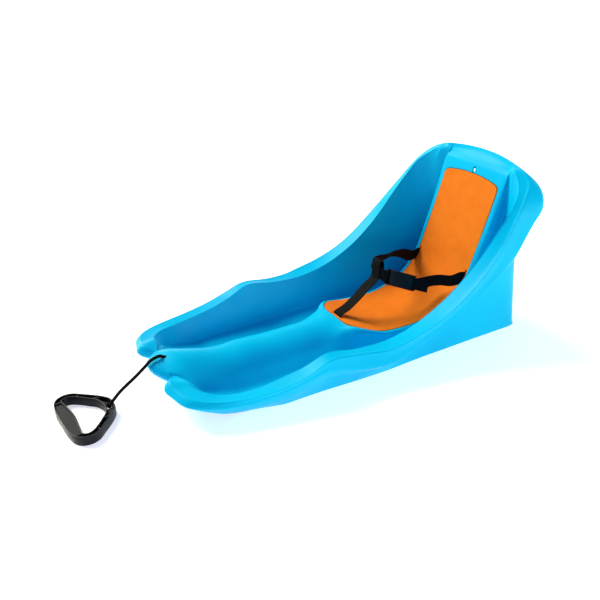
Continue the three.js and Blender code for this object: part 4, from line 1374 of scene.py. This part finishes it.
@dataclass
class Ribbon:
    """A strip of webbing carried along a path of stops."""

    width: float = WEBBING_WIDTH
    thickness: float = WEBBING_THICKNESS
    per_stop: int = 10
    corner: float = 0.5 * MM
    corner_points: int = 4
    flat_points: int = 7
    smooth_degrees: float = 50.0

    def section(self) -> Array:
        """The strip's section: a thin rectangle with rounded corners, as across and up."""
        w, h, r = self.width / 2, self.thickness / 2, self.corner
        angle = np.linspace(0, np.pi / 2, self.corner_points)
        centres = ((w - r, h - r, 0), (r - w, h - r, 1), (r - w, r - h, 2), (w - r, r - h, 3))
        arcs = []
        for x, y, quarter in centres:
            turned = angle + quarter * np.pi / 2
            arcs.append(np.stack([x + r * np.cos(turned), y + r * np.sin(turned)], axis=1))
        flat = np.linspace(1, -1, self.flat_points + 2)[1:-1, None] * np.array([w - r, 0.0])
        top, bottom = flat + np.array([0, h]), flat[::-1] - np.array([0, h])
        return np.concatenate([arcs[0], top, arcs[1], arcs[2], bottom, arcs[3]])

    def build(self, name: str, stops: list) -> Piece:
        """The strip through its stops.

        The path is a Catmull-Rom curve; at each place the section lies across the blended width
        direction, square to the path.

        Args:
            name: the piece's name.
            stops: each a point and the direction of the strip's width.

        Returns:
            The piece, with metres along and across as its UV map.
        """
        centres = np.array([p for p, _ in stops])
        ways = np.array([w for _, w in stops])
        t = np.linspace(0, 1, (len(stops) - 1) * self.per_stop + 1)
        path = catmull_rom(centres, t)
        onward = unit(np.gradient(path, axis=0))
        stop, numbers = t * (len(stops) - 1), np.arange(len(stops))
        wide = np.stack([np.interp(stop, numbers, column) for column in ways.T], axis=1)
        wide = unit(wide - onward * (wide * onward).sum(1, keepdims=True))
        thick = np.cross(onward, wide)
        section = self.section()
        rings = (path[:, None] + wide[:, None] * section[None, :, :1]
                 + thick[:, None] * section[None, :, 1:])
        uv = np.stack(np.broadcast_arrays(section[None, :, 0], run_along(path)[:, None]), axis=-1)
        faces = tube_faces(len(path), len(section))
        piece = Piece(name, rings.reshape(-1, 3), faces, uv.reshape(-1, 2))
        return piece.face_outward().clean().shade(self.smooth_degrees)


@dataclass
class Buckle:
    """The side-release buckle's frame and the sizes that the webbing laces to."""

    clip_share: tuple = (0.032, 0.667, 0.327)
    housing_share: tuple = (0.146, 0.745, 0.258)
    across_share: tuple = (-0.344, 0.445, 0.826)
    clip_length: float = 17 * MM
    housing_length: float = 51 * MM
    bar_radius: float = 1.7 * MM
    edge_round: float = 0.2 * MM
    smooth_degrees: float = 40.0
    turn_degrees: tuple = (-90.0, -67.5, -45.0, -22.5, 0.0, 22.5, 45.0, 67.5, 90.0)
    origin: Array = field(init=False)
    axes: Array = field(init=False)

    def __post_init__(self) -> None:
        """X runs from the clip to the adjuster, Y across the webbing, Z out of the face."""
        start = place(self.clip_share)
        x = unit(place(self.housing_share) - start)
        z = unit(np.cross(x, np.array(self.across_share)))
        self.axes = np.array([x, np.cross(z, x), z])
        self.origin = start + x * self.clip_length

    def at(self, x: float, y: float, z: float) -> Array:
        """A place in the buckle's frame."""
        return self.origin + np.array([x, y, z]) @ self.axes

    @property
    def clip_bar(self) -> float:
        """Where the clip's bar is along X."""
        return self.bar_radius - self.clip_length

    @property
    def housing_bar(self) -> float:
        """Where the adjuster's bar is along X."""
        return self.housing_length - WEBBING_THICKNESS - 2 * PLAY - self.bar_radius

    def lace(self, bar: float, way: float, inward: float, face: float, outward: float) -> list:
        """The webbing's turn round a bar: in on one face, half a circle, out on the other.

        Args:
            bar: where the bar is along X.
            way: 1 or -1, the side that the webbing comes from and leaves to.
            inward: how far off it comes in.
            face: 1 or -1, whether it leaves on the front or the back.
            outward: how far off it leaves.

        Returns:
            A stop for each place: its point and the direction of the webbing's width.
        """
        reach = self.bar_radius + PLAY + WEBBING_THICKNESS / 2
        places = [(bar - way * math.cos(a) * reach, math.sin(a) * reach)
                  for a in np.radians(self.turn_degrees)]
        places = [(bar + way * inward, -reach), *places, (bar + way * outward, reach)]
        return [(self.at(x, 0.0, z * face), self.axes[1]) for x, z in places]

    def build(self) -> list[Piece]:
        """The four moulded pieces, from the solids' own shapes with their edges rounded."""
        finish = MouldedBlack("moulded_black_buckle").make()
        made = []
        for node, body in (("buckle_housing", Body.SLED), ("buckle_clip", Body.SLED),
                           ("buckle_prong_upper", Body.PRONG_UPPER),
                           ("buckle_prong_lower", Body.PRONG_LOWER)):
            piece = Piece.from_node(node + "_fine", node).bevel(self.edge_round, 2, clamp=False)
            piece.shade(self.smooth_degrees).dress(finish, Slot.MOULDED)
            made.append(piece.mount(body, node))
        return made


@dataclass
class Harness:
    """The lap harness: two waist straps, the crotch strap with its loop, and the stoppers."""

    buckle: Buckle = field(default_factory=Buckle)
    ribbon: Ribbon = field(default_factory=Ribbon)
    tail: float = 34 * MM
    hull_wall: float = 3 * MM
    bed_drop: float = 3.5 * MM
    pad_proud: float = 1.5 * MM
    stopper_play: float = 0.6 * MM
    stopper_thickness: float = 4 * MM
    stopper_round: float = 0.6 * MM
    smooth_degrees: float = 40.0
    crotch_drop: float = 1.8 * MM
    crotch: tuple = ((0, 0.546, 0.18), (-0.011, 0.583, 0.23), (-0.025, 0.615, 0.28))
    loop_centre: tuple = (-0.043, 0.65, 0.373)
    loop_ring: tuple = ((-0.26, -0.86), (-0.17, -0.55), (-0.13, 0.65), (-0.04, 0.79),
                        (0.16, 0.79), (0.24, 0.65), (0.24, -0.65), (0.1, -0.82))
    waist_right: tuple = (
        (-0.352, 0.828, 0.298, 0.1), (-0.308, 0.788, 0.345, 0.5), (-0.25, 0.743, 0.378, 0.8),
        (-0.183, 0.7, 0.388, 0.7), (-0.167, 0.672, 0.392, 0.4), (-0.155, 0.656, 0.392, 0.4),
        (-0.13, 0.65, 0.39, 0.4), (-0.043, 0.65, 0.373, 0.4), (0.034, 0.65, 0.357, 0.4),
        (0.05, 0.6555, 0.345, 0))
    waist_left: tuple = ((0.34, 0.832, 0.276, 0), (0.243, 0.812, 0.269, 0),
                         (0.183, 0.795, 0.259, 0))

    def slot_stops(self, name: str) -> list:
        """A strap's first stops: from its stopper under the hull straight up through its slot.

        Args:
            name: which slot, crotch, left or right.

        Returns:
            A point and the direction of the webbing's width for each stop.
        """
        centre, wide, up, _ = SLOTS.frame(name)
        drop, sag = (self.crotch_drop, 0.0) if name == "crotch" else (0.0, SLOTS.sag)
        start = -sum((self.hull_wall, self.bed_drop, self.stopper_play, drop,
                      self.stopper_thickness))
        heights = (start, start / 2, self.pad_proud, 3 * self.pad_proud)
        return [(centre - wide * sag + up * height, wide) for height in heights]

    @staticmethod
    def leaning(stops: tuple) -> list:
        """Stops whose width direction leans from straight up toward +X."""
        return [(place(s[:3]), unit(np.array([s[3], 0.0, 1.0]))) for s in stops]

    def right_stops(self) -> list:
        """The far side's strap: through the crotch strap's loop and back to the clip."""
        lace = self.buckle.lace(self.buckle.clip_bar, -1, self.ribbon.width / 4, -1,
                                self.ribbon.width / 5)
        return [*self.slot_stops("right"), *self.leaning(self.waist_right), *lace]

    def left_stops(self) -> list:
        """The near side's strap: to the adjuster's bar, with its loose tail back on top."""
        lace = self.buckle.lace(self.buckle.housing_bar, 1, self.ribbon.width / 3, 1, self.tail)
        return [*self.slot_stops("left"), *self.leaning(self.waist_left), *lace]

    def crotch_stops(self) -> list:
        """The crotch strap: up from the seat's front, ending in a loop round the waist strap."""
        centre, width = place(self.loop_centre), self.ribbon.width
        free = [(place(s), ACROSS) for s in self.crotch]
        ring = [(centre + width * np.array([0.0, y, z]), ACROSS) for y, z in self.loop_ring]
        return [*self.slot_stops("crotch"), *free, *ring]

    def build(self) -> list[Piece]:
        """The straps, the stoppers and the buckle."""
        webbing = WovenWebbing().make()
        moulded = MouldedBlack("moulded_black_stoppers").make()
        straps = {"crotch_webbing": ("crotch_strap", self.crotch_stops()),
                  "waist_webbing_right": ("waist_strap_right", self.right_stops()),
                  "waist_webbing_left": ("waist_strap_left", self.left_stops())}
        made = []
        for name, (node, stops) in straps.items():
            piece = self.ribbon.build(name, stops).dress(webbing, Slot.WEBBING)
            made.append(piece.mount(Body.SLED, node))
        for side in ("crotch", "left", "right"):
            node = "strap_stopper_" + side
            piece = Piece.from_node(node + "_fine", node).bevel(self.stopper_round)
            piece.shade(self.smooth_degrees).dress(moulded, Slot.MOULDED)
            made.append(piece.mount(Body.SLED, node))
        return made + self.buckle.build()


@dataclass
class PullHandle:
    """The pull handle: a rounded triangle with a rim on each edge of its web, and cross ribs."""

    reach: float = 163 * MM
    width: float = 136 * MM
    depth: float = 92 * MM
    height: float = 18 * MM
    rim: float = 2.4 * MM
    web: float = 3 * MM
    rib: float = 2.4 * MM
    rib_drop: float = 1.6 * MM
    rib_reach: float = 21 * MM
    turn_degrees: float = 4.5
    middle_x: float = 10.3 * MM
    cord_radius: float = 3 * MM
    fillet: float = 0.8 * MM
    fillet_cut: float = 0.3
    samples: int = 220
    fine_samples: int = 4001
    bar_lift: float = 3.5 * MM
    bar_share: tuple = (0.6, 0.85)
    arc_points: int = 24
    smooth_degrees: float = 35.0
    outer: tuple = ((0, 0), (0.1, -0.012), (0.165, -0.07), (0.24, -0.163), (0.363, -0.355),
                    (0.474, -0.545), (0.5, -0.69), (0.472, -0.845), (0.4, -0.94), (0.26, -0.99),
                    (0, -1))
    inner: tuple = ((0, -0.18), (0.08, -0.195), (0.17, -0.25), (0.25, -0.36), (0.33, -0.47),
                    (0.41, -0.62), (0.425, -0.71), (0.395, -0.785), (0.28, -0.775), (0, -0.735))
    ribs: tuple = ((0.42, -0.48, -60), (-0.42, -0.48, 60), (0.2, -0.13, 20), (-0.2, -0.13, -20),
                   (0.38, -0.87, 0), (-0.38, -0.87, 0))

    @property
    def knot(self) -> Array:
        """The knot's centre in the handle's own frame."""
        return np.array([0.0, -(self.rim + PLAY + KNOT_RADIUS), self.height - KNOT_RADIUS - PLAY])

    @staticmethod
    def turned(degrees: float) -> Array:
        """The X, Y and Z directions turned about Z, as rows."""
        a = math.radians(degrees)
        return np.array([[math.cos(a), math.sin(a), 0], [-math.sin(a), math.cos(a), 0], [0, 0, 1]])

    def world(self, points: Array) -> Array:
        """Points of the handle's own frame, turned about Z and put ahead of the nose."""
        start = np.array([self.middle_x, NOSE_Y + self.depth - self.reach, 0.0])
        return np.asarray(points) @ self.turned(self.turn_degrees) + start

    def outline(self, shares: tuple) -> Array:
        """A closed outline from its right half, evenly spaced along its length.

        Args:
            shares: the half's points, as shares of the handle's width and depth.

        Returns:
            The outline's points.
        """
        right = np.array(shares, float) * np.array([self.width, self.depth])
        left = right[1:-1][::-1] * np.array([-1, 1])
        control = np.concatenate([right, left])
        fine = catmull_rom(control, np.linspace(0, 1, self.fine_samples), closed=True)
        length = run_along(fine)[-1]
        return at_runs(fine, np.linspace(0, length, self.samples, endpoint=False))

    @staticmethod
    def moved(outline: Array, distance: Array | float) -> Array:
        """An outline that runs clockwise, moved outward by a distance square to itself."""
        way = unit(np.roll(outline, -1, axis=0) - np.roll(outline, 1, axis=0))
        return outline + np.stack([-way[:, 1], way[:, 0]], axis=1) * distance

    def profile(self) -> list:
        """The section between the two edges: which edge, how far in from it, and the height.

        It goes up the outer wall, over its rim, along the web's top, over the inner rim, and back
        below; the heights of the web are given as None, above or below, and filled in later.
        """
        r, rim, high = self.fillet, self.rim, self.height
        soft = self.fillet_cut * r
        over = [(0.0, high - r), (soft, high - soft), (r, high), (rim - r, high),
                (rim - soft, high - soft), (rim, high - r)]
        upper = [("outer", inset, z) for inset, z in over]
        upper += [("outer", rim, "above"), ("outer", rim + r, "above")]
        upper += [("inner", rim + r, "above"), ("inner", rim, "above")]
        upper += [("inner", inset, z) for inset, z in reversed(over)]
        below = [(edge, inset, "below" if z == "above" else high - z)
                 for edge, inset, z in reversed(upper)]
        return upper + below

    def body(self) -> Piece:
        """The ring: the profile carried round the two outlines together, the grip's web raised."""
        outer, inner = self.outline(self.outer), self.outline(self.inner)
        bar = smooth_step(-mix(outer, inner, 0.5)[:, 1] / self.depth, *self.bar_share)
        above = (self.height + self.web) / 2 + self.bar_lift * bar
        below = np.full(self.samples, (self.height - self.web) / 2)
        columns = []
        for edge, inset, z in self.profile():
            flat = self.moved(outer, -inset) if edge == "outer" else self.moved(inner, inset)
            height = {"above": above, "below": below}.get(z, z)
            columns.append(np.column_stack([flat, np.broadcast_to(height, self.samples)]))
        grid = np.stack(columns, axis=1)
        closed = np.concatenate([grid, grid[:1]])
        points, quads, _ = weld(self.world(closed.reshape(-1, 3)),
                                grid_quads(self.samples + 1, len(columns), wrap=True))
        return Piece("pull_handle_fine", points, quads.tolist()).face_outward()

    def block(self, low: tuple, high: tuple, degrees: float = 0.0, shift: tuple = (0, 0)) -> Piece:
        """A block of the handle's frame.

        Args:
            low: its lowest corner.
            high: its highest corner.
            degrees: how far it is then turned about Z.
            shift: how far it is then moved in x and y.

        Returns:
            The block.
        """
        axes = self.turned(degrees)
        low, high = np.array(low, float), np.array(high, float)
        centre = (low + high) / 2 @ axes + np.array([*shift, 0.0])
        ends = self.world(np.array([centre, *(centre + axes)]))
        return box_piece(ends[0], ends[1:] - ends[0], (high - low) / 2)

    def extruded(self, outline: Array, axis: int, ends: tuple[float, float]) -> Piece:
        """A flat outline of the handle's frame made solid.

        Args:
            outline: the outline's points in the two other directions.
            axis: the direction that it is carried along, 0 for x to 2 for z.
            ends: where it starts and stops.

        Returns:
            The solid.
        """
        layers = [np.insert(outline, axis, end, axis=1) for end in ends]
        return tool(self.world(np.concatenate(layers)), tube_faces(2, len(outline)))

    def cross_ribs(self) -> list[Piece]:
        """The cross ribs, kept between the handle's two walls."""
        half, high, made = self.rib / 2, self.height - self.rib_drop, []
        ends = (self.height / 2 - OVERRUN, self.height / 2 + OVERRUN)
        within = self.moved(self.outline(self.outer), -self.rim / 2)
        hollow = self.moved(self.outline(self.inner), self.rim / 2)
        for x, y, degrees in self.ribs:
            rib = self.block((-half, -self.rib_reach, self.rib_drop), (half, self.rib_reach, high),
                             degrees, (x * self.width, y * self.depth))
            rib.combine([self.extruded(within, 2, ends)], "INTERSECT")
            rib.combine([self.extruded(hollow, 2, ends)], "DIFFERENCE")
            made.append(rib)
        return made

    def apex_cut(self) -> Piece:
        """What is cut off below the apex: an arc about the knot, carried across the handle."""
        _, y, z = self.knot
        angle = np.linspace(-np.pi / 2, 0, self.arc_points)
        radius = z - PLAY
        arc = np.stack([y + radius * np.cos(angle), z + radius * np.sin(angle)], axis=1)
        corners = np.array([[OVERRUN, z], [OVERRUN, -OVERRUN], [y, -OVERRUN]])
        return self.extruded(np.concatenate([arc, corners]), 0, (-self.width / 2, self.width / 2))

    def build(self) -> Piece:
        """The finished handle: ribs, the cord's notch, the knot's pocket and the rounded apex."""
        piece = self.body()
        piece.combine(self.cross_ribs(), "UNION")
        _, y, z = self.knot
        notch, pocket = self.cord_radius + 2 * PLAY, KNOT_RADIUS + 2 * PLAY
        tools = [self.block((-notch, y, z - notch), (notch, OVERRUN, OVERRUN)),
                 self.block((-pocket, y - pocket, -OVERRUN), (pocket, y + KNOT_RADIUS, OVERRUN)),
                 self.apex_cut()]
        piece.combine(tools, "DIFFERENCE").shade(self.smooth_degrees)
        piece.dress(MouldedBlack("moulded_black_handle").make(), Slot.MOULDED)
        return piece.mount(Body.HANDLE, "pull_handle")


@dataclass
class PullCord:
    """The braided cord from the knot in the nose, through its hole and down to the handle."""

    handle: PullHandle = field(default_factory=PullHandle)
    diameter: float = 6 * MM
    strands: int = 5
    lay_length: float = 17 * MM
    relief: float = 0.09
    step: float = 0.55 * MM
    sides: int = 40
    fine_samples: int = 4001
    knot_samples: int = 240
    knot_depth: float = 1.3
    strand_share: float = 0.36
    side_hint: tuple = (0.35, 0.1, 0.93)
    smooth_degrees: float = 60.0
    told_every: int = 8
    places: tuple = ((0, 0.059, 0.159), (0, 0.05, 0.181), (0, 0.041, 0.203), (0.003, 0.029, 0.219),
                     (0.008, 0.017, 0.217), (0.016, 0.004, 0.208), (0.022, -0.007, 0.19),
                     (0.038, -0.034, 0.151), (0.054, -0.073, 0.097))

    def route(self) -> Array:
        """The route's chosen points, ending just short of the handle's knot."""
        free = place(self.places)
        knot = self.handle.world(self.handle.knot)
        end = knot + unit(free[-1] - knot) * (KNOT_RADIUS + PLAY)
        return np.concatenate([free, [end]])

    def path(self) -> Array:
        """The cord's centreline: the Catmull-Rom curve through its route, evenly spaced."""
        fine = catmull_rom(self.route(), np.linspace(0, 1, self.fine_samples))
        return evenly(fine, self.step)

    def tube(self, name: str, path: Array, radius: float, closed: bool = False) -> Piece:
        """A braided tube along a path.

        Two sets of strands wind opposite ways; the radius rises with whichever lies higher, as the
        greater of cos(n a + w s) and cos(n a - w s), a being the angle and s the run.

        Args:
            name: the piece's name.
            path: evenly spaced points.
            radius: the tube's outer radius.
            closed: whether the path joins its own start.

        Returns:
            The tube.
        """
        if closed:
            onward = unit(np.roll(path, -1, axis=0) - np.roll(path, 1, axis=0))
        else:
            onward = unit(np.gradient(path, axis=0))
        side = unit(np.cross(onward, np.array(self.side_hint)))
        other = np.cross(onward, side)
        run = np.arange(len(path))[:, None] * np.linalg.norm(path[1] - path[0])
        angle = full_turn(self.sides)[None, :]
        wind = 2 * np.pi * self.strands / self.lay_length * run
        over = np.maximum(np.cos(self.strands * angle + wind), np.cos(self.strands * angle - wind))
        r = (radius * (1 - self.relief * (1 - over) / 2))[..., None]
        rings = (path[:, None] + side[:, None] * np.cos(angle)[..., None] * r
                 + other[:, None] * np.sin(angle)[..., None] * r)
        if closed:
            rings = np.concatenate([rings, rings[:1]])
            quads = grid_quads(len(rings), self.sides, wrap=True)
            points, quads, _ = weld(rings.reshape(-1, 3), quads)
            faces = quads.tolist()
        else:
            points, faces = rings.reshape(-1, 3), tube_faces(len(rings), self.sides)
        return Piece(name, points, faces).face_outward().shade(self.smooth_degrees)

    def tied(self, name: str, centre: Array) -> Piece:
        """A small tied knot: a tube along a trefoil, drawn tight to the knot's size.

        The trefoil is (-depth sin 3t, sin t + 2 sin 2t, cos t - 2 cos 2t).

        Args:
            name: the piece's name.
            centre: the knot's centre.

        Returns:
            The knot.
        """
        t = full_turn(self.knot_samples)
        trefoil = np.stack([-self.knot_depth * np.sin(3 * t), np.sin(t) + 2 * np.sin(2 * t),
                            np.cos(t) - 2 * np.cos(2 * t)], axis=1)
        strand = self.strand_share * KNOT_RADIUS
        spread = (KNOT_RADIUS - strand) / np.abs(trefoil).max()
        return self.tube(name, trefoil * spread + centre, strand, closed=True)

    def build(self) -> Piece:
        """The cord and its two knots."""
        finish = BraidedCord().make()
        route, path = self.route(), self.path()
        nose = route[0] + unit(route[0] - route[1]) * (KNOT_RADIUS + PLAY)
        for node, centre in (("cord_knot_nose", nose),
                             ("cord_knot_handle", self.handle.world(self.handle.knot))):
            knot = self.tied(node + "_tied", centre).dress(finish, Slot.CORD)
            knot.mount(Body.SLED, node).object
        cord = self.tube("pull_cord_braided", path, self.diameter / 2).dress(finish, Slot.CORD)
        cord.mount(Body.SLED, "pull_cord")
        return cord


@dataclass
class Studio:
    """The camera, the floor and the lights."""

    camera_at: tuple = (1.0001, -0.58205, 0.7284)
    azimuth: float = 59.3974
    elevation: float = 28.0614
    focal_pixels: float = 676.295
    picture_pixels: float = 600.0
    sensor: float = 36.0
    nearest: float = 0.01
    floor_flat: float = 6.0
    floor_reach: float = 60.0
    floor_rise: float = 16.0
    floor_rings: int = 24
    floor_sides: int = 96
    floor_drop: float = 0.2 * MM
    floor_patches: float = 1.5
    floor_tones: tuple = (0.93, 0.95)
    floor_roughness: tuple = (0.10, 0.14)
    floor_glow: float = 0.55
    smooth_degrees: float = 60.0
    sky: float = 0.46
    sky_tint: tuple = (0.45, 0.56, 1.0, 1.0)
    key: float = 4.3
    key_at: tuple = (-1.1, -0.42, 1.08)
    key_degrees: float = 34.0
    key_tint: tuple = (1.0, 0.98, 0.72)
    side_fill: float = 11.0
    side_at: tuple = (1.5, 1.1, 0.4)
    side_aim: tuple = (0.19, 0.2, 0.12)
    side_size: tuple = (1.2, 0.5)

    def camera(self) -> None:
        """The camera at the photograph's place and angle."""
        a, e = math.radians(self.azimuth), math.radians(self.elevation)
        back = Vector((math.sin(a) * math.cos(e), -math.cos(a) * math.cos(e), math.sin(e)))
        data = bpy.data.cameras.new("camera")
        data.sensor_width = self.sensor
        data.lens = self.focal_pixels / self.picture_pixels * self.sensor
        data.clip_start, data.clip_end = self.nearest, 4 * self.floor_reach
        camera = bpy.data.objects.new("camera", data)
        camera.location = self.camera_at
        self.aim(camera, -back)
        bpy.context.scene.collection.objects.link(camera)
        bpy.context.scene.camera = camera

    @staticmethod
    def aim(thing: bpy.types.Object, way: Vector) -> None:
        """Turns a camera or a lamp to look along a direction, its top side up."""
        thing.rotation_mode = "QUATERNION"
        thing.rotation_quaternion = way.to_track_quat("-Z", "Y")

    def floor(self) -> None:
        """A pale floor that rises far off and mirrors what stands on it faintly.

        The rings lie at the square of even shares of the reach. A ring's height is the rise times
        the square of its share of the way past the flat middle.
        """
        radius = np.linspace(0, 1, self.floor_rings + 1)[1:] ** 2 * self.floor_reach
        past = np.maximum(radius - self.floor_flat, 0) / (self.floor_reach - self.floor_flat)
        height = self.floor_rise * past ** 2 - self.floor_drop
        angle = full_turn(self.floor_sides)
        around = np.stack([np.cos(angle), np.sin(angle)], axis=1)
        rings = np.concatenate([radius[:, None, None] * around[None], np.broadcast_to(
            height[:, None, None], (self.floor_rings, self.floor_sides, 1))], axis=2)
        faces = grid_quads(self.floor_rings, self.floor_sides, wrap=True).tolist()
        faces.append(list(range(self.floor_sides)))
        piece = Piece("studio_floor", rings.reshape(-1, 3), faces)
        piece.face_outward().shade(self.smooth_degrees)
        tree = Tree("studio_floor_pale")
        patch = tree.noise(tree.coordinates(), self.floor_patches, detail=2.0)
        tones = [(stop, (tone,) * 3) for stop, tone in zip(tree.noise_range, self.floor_tones)]
        piece.object.data.materials.append(tree.surface(
            Base_Color=tree.ramp(patch, tones), Roughness=tree.span(patch, *self.floor_roughness),
            Emission_Color=(1.0, 1.0, 1.0, 1.0), Emission_Strength=self.floor_glow))

    def lamp(self, name: str, kind: str, place_at: tuple, aim_at: tuple,
             **settings: object) -> None:
        """A lamp at a place that faces a point.

        Args:
            name: its name.
            kind: its type.
            place_at: where it is.
            aim_at: the point that it faces.
            settings: its own properties.
        """
        data = bpy.data.lights.new(name, kind)
        for key, value in settings.items():
            setattr(data, key, value)
        lamp = bpy.data.objects.new(name, data)
        lamp.location = place_at
        self.aim(lamp, Vector(aim_at) - Vector(place_at))
        bpy.context.scene.collection.objects.link(lamp)

    def build(self) -> None:
        """The camera, the floor, a broad key from above, a low side box and an even pale sky."""
        self.camera()
        self.floor()
        self.lamp("key", "SUN", self.key_at, (0, 0, 0), energy=self.key, color=self.key_tint,
                  angle=math.radians(self.key_degrees))
        width, height = self.side_size
        self.lamp("side_box", "AREA", self.side_at, self.side_aim, energy=self.side_fill,
                  color=self.key_tint, shape="RECTANGLE", size=width, size_y=height)
        world = bpy.data.worlds.new("studio_world")
        world.use_nodes = True
        background = world.node_tree.nodes["Background"]
        background.inputs[0].default_value = self.sky_tint
        background.inputs[1].default_value = self.sky
        scene = bpy.context.scene
        scene.world = world
        scene.view_settings.view_transform = "Standard"


def main() -> None:
    """Builds the studio, then each sub-assembly of the sled, and reports its pieces."""
    logging.basicConfig(level=logging.INFO, format="%(name)s %(message)s")
    Studio().build()
    cord = PullCord()
    cord.build()
    Hull().build(cord.route())
    SeatPad().build()
    Harness().build()
    PullHandle().build()


if __name__ == "__main__":
    main()
